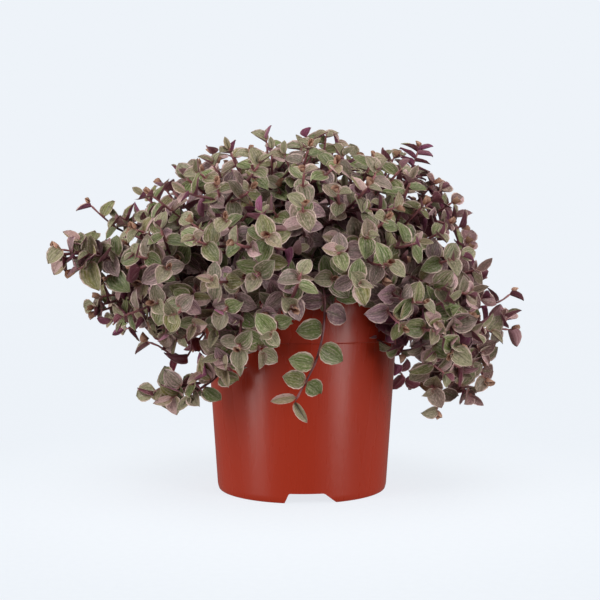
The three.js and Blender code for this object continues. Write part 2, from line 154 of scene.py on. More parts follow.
# Stems that stand out of the mound or trail: the route from the peat to the tip, how many leaves, how
# far these are rolled round the stem, how far their upper faces turn to the light, and towards where if
# not outwards. shown is the way that upper faces look in the end, grow how large the leaves have grown,
# pairs how far down slim pairs stand, slim how many leaves from the tip are slim, extra where one more
# leaf stands and how it is turned, and older how many older leaves follow.
TRAILERS = [
    {
        "name": "spray_left", "leaves": 8, "roll": 90, "light": 0.75, "towards": (-0.35, -1, 0.35),
        "shown": (-0.2, -1, 0.2),
        "route": [
            (-50, -16, 108), (-58, -19, 128), (-88, -38, 137), (-113, -50, 140), (-136.5, -58, 144),
        ],
    },
    {
        "name": "sprig_upper_left", "leaves": 6, "roll": 90, "light": 0.2, "shown": (-0.2, -0.6, 0.8),
        "grow": 0.95,
        "route": [
            (-46, 4, 108), (-54, 5, 130), (-84, 6, 148), (-112, 4, 158), (-124, 1, 167), (-132, -2, 175),
        ],
    },
    {
        "name": "sprig_upper_right", "leaves": 7, "roll": 90, "light": 0.1, "shown": (0.1, -0.1, 1),
        "pairs": [4, 8.5, 13, 18, 23], "grow": 0.95,
        "route": [
            (19, 6, 108), (20, 6, 122), (34, 4, 147), (50, 2, 168), (62, 0, 185), (68, -1, 197),
            (73, -2, 210),
        ],
    },
    {
        "name": "sprig_right", "leaves": 6, "roll": 90, "light": 0.2, "shown": (0.2, 0, 1), "grow": 0.95,
        "route": [
            (52, 6, 108), (60, 8, 128), (82, 12, 124), (106, 15, 111), (124, 17, 113), (135, 18, 120),
        ],
    },
    {
        "name": "sprig_right_low", "leaves": 6, "roll": 80, "light": 0.6, "towards": (0.3, 0.9, 0.5),
        "route": [
            (52, -8, 108), (60, -10, 130), (78, -13, 125), (98, -15, 108), (114, -16, 99), (127, -16, 97),
        ],
    },
    {
        "name": "trailer_right_low", "leaves": 7, "roll": 70, "light": 0.6, "towards": (0.3, -1, 0.3),
        "route": [
            (49, -18, 108), (58, -22, 130), (74, -27, 122), (82, -28, 92), (82, -26, 66), (80, -24, 48),
        ],
    },
    {
        "name": "trailer_right", "leaves": 7, "roll": 60, "light": 0.7, "towards": (0.3, -1, 0.4),
        "route": [(42, -30, 108), (49, -37, 128), (64, -49, 128), (79, -59, 110), (88, -62, 90)],
    },
    {
        "name": "trailer_right_back", "leaves": 6, "roll": 80, "light": 0.5,
        "route": [
            (50, 15, 108), (60, 18, 130), (78, 22, 124), (94, 24, 102), (104, 22, 82), (107, 18, 66),
        ],
    },
    {
        "name": "trailer_left_low", "leaves": 6, "roll": 90, "light": 0.75, "towards": (-0.2, -1, 0.3),
        "older": 3,
        "route": [
            (-27, -45, 108), (-31, -54, 128), (-37, -67, 114), (-39, -67, 84), (-51, -62, 71),
            (-68, -57, 68), (-79, -54, 62),
        ],
    },
    {
        "name": "runner_left", "leaves": 4, "roll": 70, "light": 0.3, "older": 1,
        "route": [
            (-46, -25, 108), (-54, -29, 128), (-65, -33, 110), (-65, -32, 86), (-73, -30, 81),
            (-84, -30, 88), (-92, -30, 91),
        ],
    },
    {
        "name": "trailer_front", "leaves": 7, "roll": 0, "light": 0.8, "shown": (-0.1, -1, 0.2), "slim": 2,
        "extra": (13, 180),
        "route": [
            (9, -51, 108), (10, -58, 127), (12, -71, 119), (12, -74, 104), (8, -76, 84), (-4, -75, 60),
        ],
    },
]
TRAILER_SEED = 100
# The slim leaves of a sprig, which stand in pairs, and the first draw for them
PAIR = {"long": 14, "wide": 8, "turn": 90, "tilt": 72, "age": 3}
PAIR_STEP = 1.5
PAIR_DRAW = 70

# Side shoots that fill the mound between the plan's shoots: how many directions are tried all round.
# The outer layer stands between the plan's tips and the others fill the mound below it: share of the
# reach, least angle between shoots, how much lower it hangs, and where on the nearest stem its shoots
# fork off.
FILL_TRIES = 1500
FILL_LAYERS = [
    {"share": 1.0, "least": 8.8, "lower": 0, "fork": 0.42, "seed": 300},
    {"share": 0.78, "least": 10.5, "lower": 12, "fork": 0.22, "seed": 4000},
    {"share": 0.58, "least": 15, "lower": 0, "fork": 0.1, "seed": 8000},
]
# How much shorter a side shoot may stay, and how its aim and its fork stray
FILL_DEPTH = 9
FILL_AIM_SPREAD = 0.35
FORK_SPREAD = 0.3
FORK_STEP = 0.02
FILL_LEAD = 12
# The plant has grown to the light in front of it: how far side shoots lean there, and their leaves turn
FRONT = Vector((0, -1, 0))
FRONT_LEAN = 0.75
FRONT_LIGHT = 0.6
# Leaves on top of the mound: above which level, and how far their faces turn to the front
TOP = {"level": 186, "turned": 0.7}
TOP_WAY = Vector((0, -0.8, 0.6))
# How far the mound reaches at each angle from straight up, how low it hangs at each azimuth, and up to
# which angle it leaves the pot bare in every layer
SHELL = [(0, 102), (13, 102), (35, 107), (57, 112), (78, 115), (97, 114), (115, 111)]
SKIRT = [
    (-180, 97), (-150, 96), (-118, 99), (-112, 104), (-98, 104), (-92, 99), (-87, 86), (-53, 86),
    (-46, 108), (-38, 113), (-20, 109), (0, 106), (30, 104), (60, 101), (90, 108), (150, 106), (180, 97),
]
BARE = 90
GOLDEN_TURN = 137.508

# Shoots that stand out at the mound's outline, each off the nearest stem
EDGE_SHOOTS = [
    (8, -6, 216), (21, -4, 212), (34, -2, 205), (-30, -2, 200), (-52, -4, 200), (-64, 2, 200),
    (-76, 0, 193), (-87, 0, 187), (-100, 0, 168), (-110, 0, 162), (-108, -8, 150), (82, -2, 188),
    (87, 0, 184), (95, -5, 166), (101, -5, 152), (102, -5, 138), (74, 2, 192), (-119, -34, 117),
    (-120, -36, 108), (-110, -42, 104), (-101, -42, 104), (-90, -48, 104), (-76, -60, 96), (3, -8, 217),
    (15, -8, 217), (-123, -34, 111), (-56, -2, 207), (-114, 0, 167), (99, -8, 160), (102, -8, 147),
    (94, -4, 176), (58, 0, 205),
]
EDGE_SEED = 6000

# Side shoots in the clusters that hang over the rim: the share of the stem that each forks off at, where
# it ends, and the way that its tip aims
SIDE_SHOOTS = {
    "trailer_right": [
        (0.45, (77, -64, 121), (0.2, -1, 0.35)),
        (0.6, (73, -70, 102), (0.1, -1, 0.2)),
        (0.8, (83, -66, 86), (0.2, -1, 0.1)),
        (0.7, (72, -60, 86), (-0.1, -1, 0.1)),
        (0.75, (99, -50, 94), (0.5, -1, 0.2)),
        (0.62, (93, -56, 106), (0.4, -1, 0.3)),
    ],
    "trailer_right_low": [
        (0.55, (90, -40, 74), (0.3, -1, -0.1)),
        (0.7, (75, -38, 62), (0, -1, -0.2)),
        (0.6, (99, -30, 58), (0.5, -0.8, -0.4)),
        (0.5, (73, -34, 74), (-0.1, -1, 0)),
    ],
    "sprig_right_low": [
        (0.5, (101, -30, 120), (0.5, -1, 0.3)),
        (0.62, (107, -22, 84), (0.6, -0.6, -0.3)),
        (0.6, (109, -20, 80), (0.8, -0.6, -0.2)),
        (0.6, (110, -20, 67), (0.6, -0.5, -0.7)),
        (0.85, (124, -18, 105), (0.6, -0.8, 0.4)),
        (0.72, (113, -22, 96), (0.8, -0.7, 0.1)),
        (0.55, (98, -26, 62), (0.4, -0.7, -0.5)),
    ],
    "sprig_right": [
        (0.5, (104, 4, 130), (0.7, -0.4, 0.5)),
        (0.58, (111, -6, 116), (0.8, -0.6, 0.2)),
    ],
    "spray_left": [
        (0.4, (-92, -44, 124), (-0.3, -1, 0.1)),
        (0.6, (-112, -52, 127), (-0.4, -1, 0)),
        (0.7, (-128, -56, 132), (-0.4, -1, -0.1)),
        (0.62, (-120, -54, 141), (-0.3, -1, 0.4)),
        (0.75, (-134, -54, 139), (-0.6, -1, 0)),
        (0.5, (-104, -48, 138), (-0.2, -1, 0.4)),
        (0.85, (-139, -56, 142), (-0.6, -0.6, 0.4)),
        (0.7, (-126, -52, 149), (-0.2, -1, 0.5)),
    ],
    "runner_left": [
        (0.45, (-72, -44, 104), (-0.3, -1, 0.2)),
        (0.6, (-82, -34, 100), (-0.5, -0.8, 0.2)),
    ],
    "trailer_left_low": [
        (0.3, (-46, -72, 98), (-0.2, -1, 0)),
        (0.42, (-34, -74, 84), (0, -1, -0.2)),
        (0.45, (-46, -70, 84), (-0.3, -1, 0)),
        (0.55, (-42, -66, 76), (-0.1, -1, -0.3)),
        (0.62, (-55, -64, 74), (-0.2, -1, 0.1)),
        (0.7, (-62, -62, 61), (-0.1, -1, -0.3)),
        (0.8, (-73, -60, 60), (-0.2, -1, -0.3)),
        (0.85, (-84, -56, 64), (-0.6, -1, 0.3)),
        (0.33, (-22, -76, 86), (-0.1, -1, -0.3)),
    ],
}
SIDE_SEED = 2000
SIDE_DRAWS = 20
# How far the upper faces in a cluster turn to the light and to the front, and how large its leaves are
CLUSTER_LIGHT = 0.5
CLUSTER_WAY = Vector((0, -0.93, 0.37))
CLUSTER_TURNED = 0.5
CLUSTER_GROWTH = 1.2

# Older leaves below a shoot's own: the step between them, how many, at which age a leaf is as brown as it
# gets (a dark brown that is partly painted shade), the share of the stem they may reach down, and how they
# differ
OLDER_STEP = 6
OLDER_LEAVES = 8
OLDEST = 11
OLDER_REACH = 0.92
OLDER = {"long": 16, "wide": 13.5, "tilt": 86, "shrink": 0.02}
OLDER_VARIETY = {"size": 0.15, "turn": 30, "tilt": 16}

# Each leaf of a shoot draws by its own number. These are the first ones for the older leaves, and for the
# stamping of all leaves that the frame lacks.
OLDER_DRAW = 40
MORE_DRAW = 60
# What the draws are for
FOR = {
    "azimuth": 1, "polar": 2, "reach": 3, "aim x": 4, "aim y": 5, "light": 6, "size": 7, "start": 8,
    "turn": 9, "tilt": 10, "tint": 11, "blush": 12, "form": 13, "fork": 14,
}
DRAW = {"prime": 2147483647, "factor": 16807, "small": 65521, "rounds": 3}
DRAW_SEEDS = {"stem": 7919, "leaf": 104729, "use": 1299709, "start": 15485863}


def chance(stem, leaf, use):
    """A number from 0 to 1 that is the same each run: one for each stem, leaf and use."""
    n = (
        stem * DRAW_SEEDS["stem"]
        + leaf * DRAW_SEEDS["leaf"]
        + FOR[use] * DRAW_SEEDS["use"]
        + DRAW_SEEDS["start"]
    )
    for _ in range(DRAW["rounds"]):
        n = ((n % DRAW["prime"]) * DRAW["factor"]) % DRAW["prime"]
        n = (n + (n % DRAW["small"]) ** 2) % DRAW["prime"]
    return n / DRAW["prime"]


def spread(stem, leaf, use):
    return 2 * chance(stem, leaf, use) - 1


class Path:
    """A smooth line through a few points, measured along its length."""

    DIVISIONS = 200

    def __init__(self, points):
        first, last = points[0], points[-1]
        ends = [2 * first - points[1], 2 * last - points[-2]]
        self.points = np.array([ends[0], *points, ends[1]], float)
        self.times = np.linspace(0, 1, self.DIVISIONS + 1)
        spots = self.spots(self.times)
        steps = np.linalg.norm(np.diff(spots, axis=0), axis=1)
        self.lengths = np.concatenate([[0], np.cumsum(steps)])
        self.length = float(self.lengths[-1])

    def spots(self, times):
        """Where the line is at these times, by a cubic between each two of its points."""
        spans = len(self.points) - 3
        at = np.asarray(times) * spans
        span = np.minimum(at.astype(int), spans - 1)
        t = (at - span)[:, None]
        before, start, end, after = (self.points[span + i] for i in range(4))
        leave = (end - before) / 2
        arrive = (after - start) / 2
        square = 3 * (end - start) - 2 * leave - arrive
        cube = 2 * (start - end) + leave + arrive
        return start + leave * t + square * t**2 + cube * t**3

    def along(self, shares):
        """Points at these shares of the line's length."""
        wanted = np.asarray(shares) * self.length
        return self.spots(np.interp(wanted, self.lengths, self.times))

    def at(self, share):
        return Vector(self.along([share])[0])


def stem_path(points):
    foot = points[0].copy()
    foot.z = STEM_FOOT
    return Path([foot, *points])


def bow(foot, rise, tip, count):
    """From foot to tip in a bow, as the few points that a smooth path runs through."""
    lead = tip["end"] - tip["aim"] * LEAD * (tip["end"] - foot).length
    return interpolate_bezier(foot, rise, lead, tip["end"], count + 1)


def on_tube(shoot, share):
    """A place on the middle line of the frame's tube, whose steps are straight, and the way it runs."""
    at = shoot["steps"] * share
    piece = min(int(at), shoot["steps"] - 1)
    low = shoot["path"].at(piece / shoot["steps"])
    high = shoot["path"].at((piece + 1) / shoot["steps"])
    return low.lerp(high, at - piece), (high - low).normalized()


def squared(way, line):
    """The way nearest to this one that is square to a line."""
    return (way - line * way.dot(line)).normalized()


def leaf_pose(shoot, leaf, turn=0, tilt=0):
    """Where a leaf stands: its foot on the stem, the way it points, the way its upper face looks."""
    share = max(LOWEST_LEAF, 1 - leaf["down"] / shoot["path"].length)
    foot, along = on_tube(shoot, share)
    flat = Vector((foot.x - MOUND.x, foot.y - MOUND.y, 0)).normalized()
    lit = shoot.get("towards") or flat * LIGHT["out"] + UP * LIGHT["up"]
    side = squared(Vector((-flat.y, flat.x, 0)), along)
    other = along.cross(side)
    around = math.radians(leaf["turn"] + turn)
    off = math.radians(leaf["tilt"] + tilt)
    out = side * math.cos(around) + other * math.sin(around)
    point = along * math.cos(off) + out * math.sin(off)
    face = along * math.sin(off) - out * math.cos(off)
    face = face * (1 - shoot["light"]) + lit * shoot["light"]
    face = squared(face, point)
    return {"foot": foot + point * BLADE_SINK, "point": point, "face": face, "across": point.cross(face)}


def faced(pose, shoot):
    """The same pose with its upper face turned as its shoot's are, as far as the leaf's own line lets it."""
    if shoot.get("shown") is None:
        return pose
    face = squared(pose["face"].lerp(shoot["shown"], shoot.get("turned", 1)), pose["point"])
    return {**pose, "face": face, "across": pose["point"].cross(face)}


def swung(pose, angle):
    """The same pose turned in the plane of its blade."""
    turn = Matrix.Rotation(angle, 3, pose["face"])
    return {**pose, "point": turn @ pose["point"], "across": turn @ pose["across"]}


def tip_corner(pose, leaf):
    """The corner that the frame's solid blade has at its tip."""
    drop = HALF_BLADE - DROOP * leaf["long"]
    return pose["foot"] + pose["point"] * leaf["long"] + pose["face"] * drop


def settled_pose(shoot, leaf, corners):
    """The pose among a leaf's tries that the frame's own leaf has, found by the corner at its tip."""
    poses = [leaf_pose(shoot, leaf, turn, tilt) for turn, tilt in TRIES]
    return min(poses, key=lambda pose: corners.find(tip_corner(pose, leaf) * MM)[2])


def corners_of(node):
    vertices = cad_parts[node].data.vertices
    tree = KDTree(len(vertices))
    for i, vertex in enumerate(vertices):
        tree.insert(vertex.co, i)
    tree.balance()
    return tree


def drawn_leaf(form, draws, variety, mean, turn, tilt):
    """A leaf of a form that differs from it a little, by the stem and leaf that its draws go by."""
    size = mean + variety["size"] * spread(*draws, "size")
    return {
        "long": form["long"] * size,
        "wide": form["wide"] * size,
        "turn": turn + variety["turn"] * spread(*draws, "turn"),
        "tilt": tilt + variety["tilt"] * spread(*draws, "tilt"),
    }


def rosette(number, which):
    """The leaves of one shoot of the mound that the frame has, from the bud down."""
    start = 360 * chance(number, which, "start")
    leaves = []
    for k, form in enumerate(ROSETTE):
        draws = number, 10 * which + k
        leaf = drawn_leaf(form, draws, VARIETY, MEAN_SIZE, start + TURN * k, form["tilt"])
        leaves.append({**leaf, "down": form["down"], "age": k})
    if chance(number, which, "form") > ROLLED:
        leaves[0]["slim"] = OPEN_SHARE
    return leaves


def older_leaves(number, shoot, turn_step, count):
    """Leaves further down a stem than the last that it has, which are smaller and hang lower."""
    last = shoot["leaves"][-1]
    leaves = []
    for k in range(1, count + 1):
        down = last["down"] + OLDER_STEP * k
        if down > shoot["path"].length * OLDER_REACH:
            break
        mean = 1 - OLDER["shrink"] * k
        draws = number, OLDER_DRAW + k
        leaf = drawn_leaf(OLDER, draws, OLDER_VARIETY, mean, last["turn"] + turn_step * k, OLDER["tilt"])
        leaves.append({**leaf, "down": down, "age": last["age"] + k})
    return leaves


def direction(azimuth, polar):
    return Vector((
        math.cos(azimuth) * math.sin(polar),
        math.sin(azimuth) * math.sin(polar),
        math.cos(polar),
    ))


def shoot_tip(tier, place, number, which):
    """Where one shoot of a tier ends, and the way that its tip aims."""
    azimuth = math.radians(place + AZIMUTH_SPREAD * spread(number, which, "azimuth"))
    front = max(0, -math.sin(azimuth)) ** 2
    lift = FRONT_LIFT * front * tier["polar"] / 90
    polar = math.radians(tier["polar"] - lift + POLAR_SPREAD * spread(number, which, "polar"))
    reach = tier["reach"] + REACH_SPREAD * (chance(number, which, "reach") - REACH_MIDDLE)
    out = direction(azimuth, polar)
    return {"end": MOUND + out * reach, "aim": aim_of(out, polar, number, which)}


def aim_of(out, polar, number, which):
    aim = out + UP * AIM_LIFT * math.sin(polar)
    aim.x += AIM_SPREAD * spread(number, which, "aim x")
    aim.y += AIM_SPREAD * spread(number, which, "aim y")
    return aim.normalized()


def mound_shoot(path, steps, light, leaves):
    shoot = {"path": path, "steps": steps, "light": light, "leaves": leaves}
    if path.at(1).z > TOP["level"]:
        shoot |= {"shown": TOP_WAY, "turned": TOP["turned"]}
    return shoot


def plan_stem(tier, pair, number):
    """A stem of the mound: it forks once, and each of its two shoots ends in a rosette."""
    step = tier["arc"] / tier["shoots"]
    place = tier["first"] + 2 * step * pair
    middle = math.radians(place + step / 2)
    outward = Vector((math.cos(middle), math.sin(middle), 0))
    root = outward * tier["root"] + UP * (PEAT_TOP + COLLAR)
    rise = root + UP * tier["climb"] + outward * RISE_OUT * tier["root"]
    main_path = stem_path(bow(root, rise, shoot_tip(tier, place, number, 0), BOW_POINTS))
    light = MOUND_LIGHT["least"] + MOUND_LIGHT["spread"] * chance(number, 0, "light")
    main = mound_shoot(main_path, STEM_STEPS, light, rosette(number, 0))
    foot, along = on_tube(main, FORK)
    tip = shoot_tip(tier, place + step, number, 1)
    branch_path = Path(bow(foot, foot + along * FORK_LEAD, tip, BRANCH_POINTS))
    branch = mound_shoot(branch_path, BRANCH_STEPS, light, rosette(number, 1))
    name = f"leafy_stem_{number + 1:02d}"
    return {"name": name, "number": number, "shoots": [main, branch], "fill": [], "older": OLDER_LEAVES}


def plan_trailer(trailer, index):
    number = TRAILER_SEED + index
    leaves = []
    for k in range(trailer["leaves"]):
        form = ROSETTE[min(k, len(ROSETTE) - 1)]
        down = form["down"] if k < 2 else ROSETTE[1]["down"] + TRAILER_STEP * (k - 1)
        turn = trailer["roll"] + TRAILER_TURN * k
        tilt = min(form["tilt"], TRAILER_TILT)
        leaf = drawn_leaf(form, (number, k), TRAILER_VARIETY, MEAN_SIZE, turn, tilt)
        grow = trailer.get("grow", TRAILER_GROWTH)
        leaves.append({**leaf, "down": down, "age": k, "grow": grow})
    shoot = {
        "path": stem_path([Vector(place) for place in trailer["route"]]),
        "steps": TRAILER_STEPS,
        "light": trailer["light"],
        "leaves": leaves,
    }
    for key in ("towards", "shown"):
        if key in trailer:
            shoot[key] = Vector(trailer[key]).normalized()
    for leaf in leaves[:trailer.get("slim", 0)]:
        leaf["slim"] = SLIM_SHARES[leaf["age"]]
        if leaf["age"] == 0:
            leaf["swing"] = True
    shoot["between"] = leaf_pairs(number, trailer.get("pairs", []))
    if "extra" in trailer:
        down, turn = trailer["extra"]
        shoot["between"].append({**leaves[2], "down": down, "turn": turn, "tilt": TRAILER_TILT})
    older = trailer.get("older", OLDER_LEAVES)
    return {"name": trailer["name"], "number": number, "shoots": [shoot], "fill": [], "older": older}


def leaf_pairs(number, downs):
    """Slim leaves that stand left and right of a sprig, further down than each of these."""
    leaves = []
    for k, down in enumerate(downs):
        for side in (0, 180):
            size = 1 + TRAILER_VARIETY["size"] * spread(number, PAIR_DRAW + 2 * k + side // 180, "size")
            leaves.append({
                "down": down + PAIR_STEP * side / 180,
                "long": PAIR["long"] * size,
                "wide": PAIR["wide"] * size,
                "turn": side + PAIR["turn"],
                "tilt": PAIR["tilt"],
                "age": PAIR["age"],
            })
    return leaves


def plan_mound():
    stems = []
    for tier in TIERS:
        for pair in range(tier["shoots"] // 2):
            stems.append(plan_stem(tier, pair, len(stems)))
    return stems


def fill_tips(taken, layer):
    """Tips spread over the mound where no shoot of the layer stands yet, in a shuffled order."""
    tips = []
    least = math.radians(layer["least"])
    for i in sorted(range(FILL_TRIES), key=lambda i: chance(layer["seed"] + i, 0, "start")):
        number = layer["seed"] + i
        polar = math.degrees(math.acos(1 - 2 * (i + 0.5) / FILL_TRIES))
        azimuth = (GOLDEN_TURN * i) % 360 - 180
        lowest = float(np.interp(azimuth, *zip(*SKIRT)))
        if lowest > BARE:
            lowest += layer["lower"] * max(0, math.sin(math.radians(azimuth))) ** 2
        if polar > lowest:
            continue
        out = direction(math.radians(azimuth), math.radians(polar))
        if any(out.angle(other) < least for other in taken):
            continue
        taken.append(out)
        reach = float(np.interp(polar, *zip(*SHELL))) - FILL_DEPTH * chance(number, 0, "reach")
        end = MOUND + out * reach * layer["share"]
        tips.append({"end": end, "aim": fill_aim(out, number), "out": out, "number": number})
    return tips


def fill_aim(out, number):
    """The way a side shoot aims: outwards, and more to the front the less it faces there or back."""
    aim = out + FRONT * FRONT_LEAN * (1 - abs(out.y))
    aim.z += AIM_LIFT * math.hypot(out.x, out.y)
    aim.x += FILL_AIM_SPREAD * spread(number, 0, "aim x")
    aim.y += FILL_AIM_SPREAD * spread(number, 0, "aim y")
    return aim.normalized()


def side_shoot(parent, share, tip, light):
    """A shoot that forks off another at a share of its length."""
    foot = parent["path"].at(share)
    along = (parent["path"].at(min(1, share + FORK_STEP)) - foot).normalized()
    path = Path(bow(foot, foot + along * FILL_LEAD, tip, BRANCH_POINTS))
    shoot = mound_shoot(path, STEM_STEPS, light, rosette(tip["number"], 0))
    shoot["number"] = tip["number"]
    shoot["towards"] = (tip["aim"] * LIGHT["out"] + UP * LIGHT["up"] + FRONT * FRONT_LIGHT).normalized()
    return shoot


def edge_tips():
    tips = []
    for i, end in enumerate(EDGE_SHOOTS):
        out = (Vector(end) - MOUND).normalized()
        aim = fill_aim(out, EDGE_SEED + i)
        tips.append({"end": Vector(end), "aim": aim, "out": out, "number": EDGE_SEED + i})
    return tips


def fill_mound(stems):
    """Forks a side shoot to each free tip off the stem whose own tips stand nearest."""
    outs = {}
    for stem in stems:
        for which, shoot in enumerate(stem["shoots"]):
            outs[stem["number"], which] = (shoot["path"].at(1) - MOUND).normalized()
    edge = edge_tips()
    outer = [*outs.values(), *(tip["out"] for tip in edge)]
    for layer, taken, more in zip(FILL_LAYERS, (outer, [], []), (edge, [], [])):
        for tip in [*more, *fill_tips(taken, layer)]:
            (owner, which) = min(outs, key=lambda key: outs[key].angle(tip["out"]))
            stem = stems[owner]
            number = tip["number"]
            share = layer["fork"] + FORK_SPREAD * chance(number, 0, "fork")
            light = MOUND_LIGHT["least"] + MOUND_LIGHT["spread"] * chance(number, 0, "light")
            stem["fill"].append(side_shoot(stem["shoots"][which], share, tip, light))


def fill_trailer(plant):
    """Forks the side shoots of a cluster off its stem."""
    for share, end, aim in SIDE_SHOOTS.get(plant["name"], []):
        number = SIDE_SEED + SIDE_DRAWS * (plant["number"] - TRAILER_SEED) + len(plant["fill"])
        tip = {"end": Vector(end), "aim": Vector(aim).normalized(), "number": number}
        shoot = side_shoot(plant["shoots"][0], share, tip, CLUSTER_LIGHT)
        shoot |= {"shown": CLUSTER_WAY, "turned": CLUSTER_TURNED}
        for leaf in shoot["leaves"]:
            leaf["grow"] = CLUSTER_GROWTH
        plant["fill"].append(shoot)


# Blades are stamped from a few templates, which run across from -1 to 1 and along from 0 to 1: their
# steps, their half width from foot to tip, and how they clasp the stem, fold and wave
BLADE_ACROSS = 4
BLADE_ALONG = 6
BLADE_OUTLINE = [(0, 0.22), (0.07, 0.6), (0.22, 0.92), (0.44, 1), (0.68, 0.83), (0.87, 0.44), (1, 0)]
BLADE_ROWS = [along for along, _ in BLADE_OUTLINE]
BLADE_MERGE = 1e-4
CLASP = 0.16
FOLD_POWER = 1.35
WAVES = {"along": 9, "across": 2}
BLADE_FORMS = [
    {"fold": 0.17, "droop": 0.15, "twist": 0.0, "wave": 0.015},
    {"fold": 0.26, "droop": 0.07, "twist": 0.07, "wave": 0.02},
    {"fold": 0.11, "droop": 0.2, "twist": -0.07, "wave": 0.025},
    {"fold": 0.21, "droop": 0.25, "twist": 0.05, "wave": 0.02},
    {"fold": 0.15, "droop": 0.08, "twist": -0.05, "wave": 0.03},
]
YOUNG_FORM = {"fold": 0.27, "droop": 0.03, "twist": 0.05, "wave": 0.01}
# A bud: how wide its roll is and how much of a turn its margins go round, from foot to tip
BUD_WIDTH = [(0, 0.5), (0.25, 0.88), (0.6, 0.94), (1, 0.7)]
BUD_COVER = [(0, 1), (0.4, 1), (0.62, 0.88), (0.85, 0.66), (1, 0.3)]
BUD = {"roll": 172, "taper": 0.14, "thick": 0.08, "deep": 0.43, "droop": 0.05}
# How many of the shoots end in a leaf that is still rolled; on the others it has opened
ROLLED = 0.42
# How large each kind of blade is against the frame's plain one, which is cut a little larger
LEAF_SHARE = {"long": 0.74, "wide": 0.76}
BUD_SHARE = {"long": 0.48, "wide": 0.7}
# The slim leaves at the tip of a trailer, the first of which swings aside
SLIM_SWING = math.radians(38)
SLIM_SHARES = [{"long": 1.25, "wide": 0.9}, {"long": 0.9, "wide": 0.4}]
OPEN_SHARE = {"long": 0.92, "wide": 0.8}
TRAILER_GROWTH = 1.15
# How much larger leaves are the further back they stand, from a depth and over a distance, and up to
# which level, where that fades out
FAR_GROWTH = {"most": 0.17, "from": -90, "over": 90, "level": 180, "fade": 20}
BLADE_HALF = 0.024
# What each vertex of a leaf or stem carries for its material
LEAF_LAYERS = ("age", "tint", "blush")
UNDER_SLOT, STALK_SLOT = 1, 2


def marked_bmesh():
    """An empty mesh with the layers that the leaves' materials read."""
    bm = bmesh.new()
    bm.loops.layers.uv.new("leaf")
    for layer in LEAF_LAYERS:
        bm.verts.layers.float.new(layer)
    return bm


def blade_shell():
    """A flat blade with an upper and an under side that meet in its margin."""
    bm = marked_bmesh()
    bmesh.ops.create_grid(bm, x_segments=BLADE_ACROSS, y_segments=BLADE_ALONG, size=1, calc_uvs=True)
    upper = bm.faces[:]
    copied = bmesh.ops.duplicate(bm, geom=upper)["geom"]
    under = [item for item in copied if isinstance(item, bmesh.types.BMFace)]
    bmesh.ops.reverse_faces(bm, faces=under)
    for face in under:
        face.material_index = UNDER_SLOT
    for face in bm.faces:
        face.smooth = True
    return bm


def shape_blade(bm, place):
    """Moves each vertex to place(across, along, side), where side is 1 on the upper face."""
    for vertex in bm.verts:
        side = -1 if vertex.link_faces[0].material_index == UNDER_SLOT else 1
        row = round((vertex.co.y + 1) / 2 * BLADE_ALONG)
        vertex.co = place(vertex.co.x, BLADE_ROWS[row], side)
    bmesh.ops.remove_doubles(bm, verts=bm.verts[:], dist=BLADE_MERGE)
    for edge in bm.edges:
        kinds = {face.material_index for face in edge.link_faces}
        edge.smooth = len(kinds) == 1


def outline_at(outline, along):
    return float(np.interp(along, [u for u, _ in outline], [w for _, w in outline]))


def leaf_blade(form):
    """An ovate blade, folded along its midrib, drooping to the tip, and clasping at its foot."""
    bm = blade_shell()

    def place(across, along, side):
        width = outline_at(BLADE_OUTLINE, along)
        out = abs(across)
        clasp = CLASP * (1 - along) ** 4 * out**1.5
        height = form["fold"] * width * out**FOLD_POWER + clasp - form["droop"] * along**2
        height += form["twist"] * across * along
        height += form["wave"] * math.sin(WAVES["along"] * along + WAVES["across"] * across) * out
        height += side * BLADE_HALF * (1 - out**4) * (1 - along**6)
        return Vector((across * width, along, height))

    shape_blade(bm, place)
    return bm


def rolled_blade():
    """A young blade, still rolled round itself into a cup that opens at a slant to its tip."""
    bm = blade_shell()

    def place(across, along, side):
        radius = outline_at(BUD_WIDTH, along) * (1 + BUD["taper"] * across) - (1 + side) * BUD["thick"]
        turn = math.radians(BUD["roll"] * across * outline_at(BUD_COVER, along))
        height = BUD["deep"] * (radius * (1 - math.cos(turn)) - 1) - BUD["droop"] * along**2
        return Vector((radius * math.sin(turn), along, height))

    shape_blade(bm, place)
    return bm


def as_mesh(bm, name):
    mesh = bpy.data.meshes.new(name)
    bm.to_mesh(mesh)
    bm.free()
    return mesh


def growth(leaf, foot):
    """How large a leaf has grown: those away from the mound's front and below its top have had more room."""
    if "grow" in leaf:
        return leaf["grow"]
    back = min(1, max(0, (foot.y - FAR_GROWTH["from"]) / FAR_GROWTH["over"]))
    high = min(1, max(0, (foot.z - FAR_GROWTH["level"]) / FAR_GROWTH["fade"]))
    return 1 + FAR_GROWTH["most"] * back * (1 - high)


def fitted(foot, columns):
    """A leaf's sides, made smaller until it stays inside the frame's box."""
    while not all(in_box(foot + sum((c * w for c, w in zip(columns, spot)), Vector())) for spot in EXTREMES):
        columns = [column * SHRINK for column in columns]
    return columns


def in_box(spot):
    low, high = frame_box
    return all(low[i] + BOX_MARGIN <= spot[i] * MM <= high[i] - BOX_MARGIN for i in range(3))


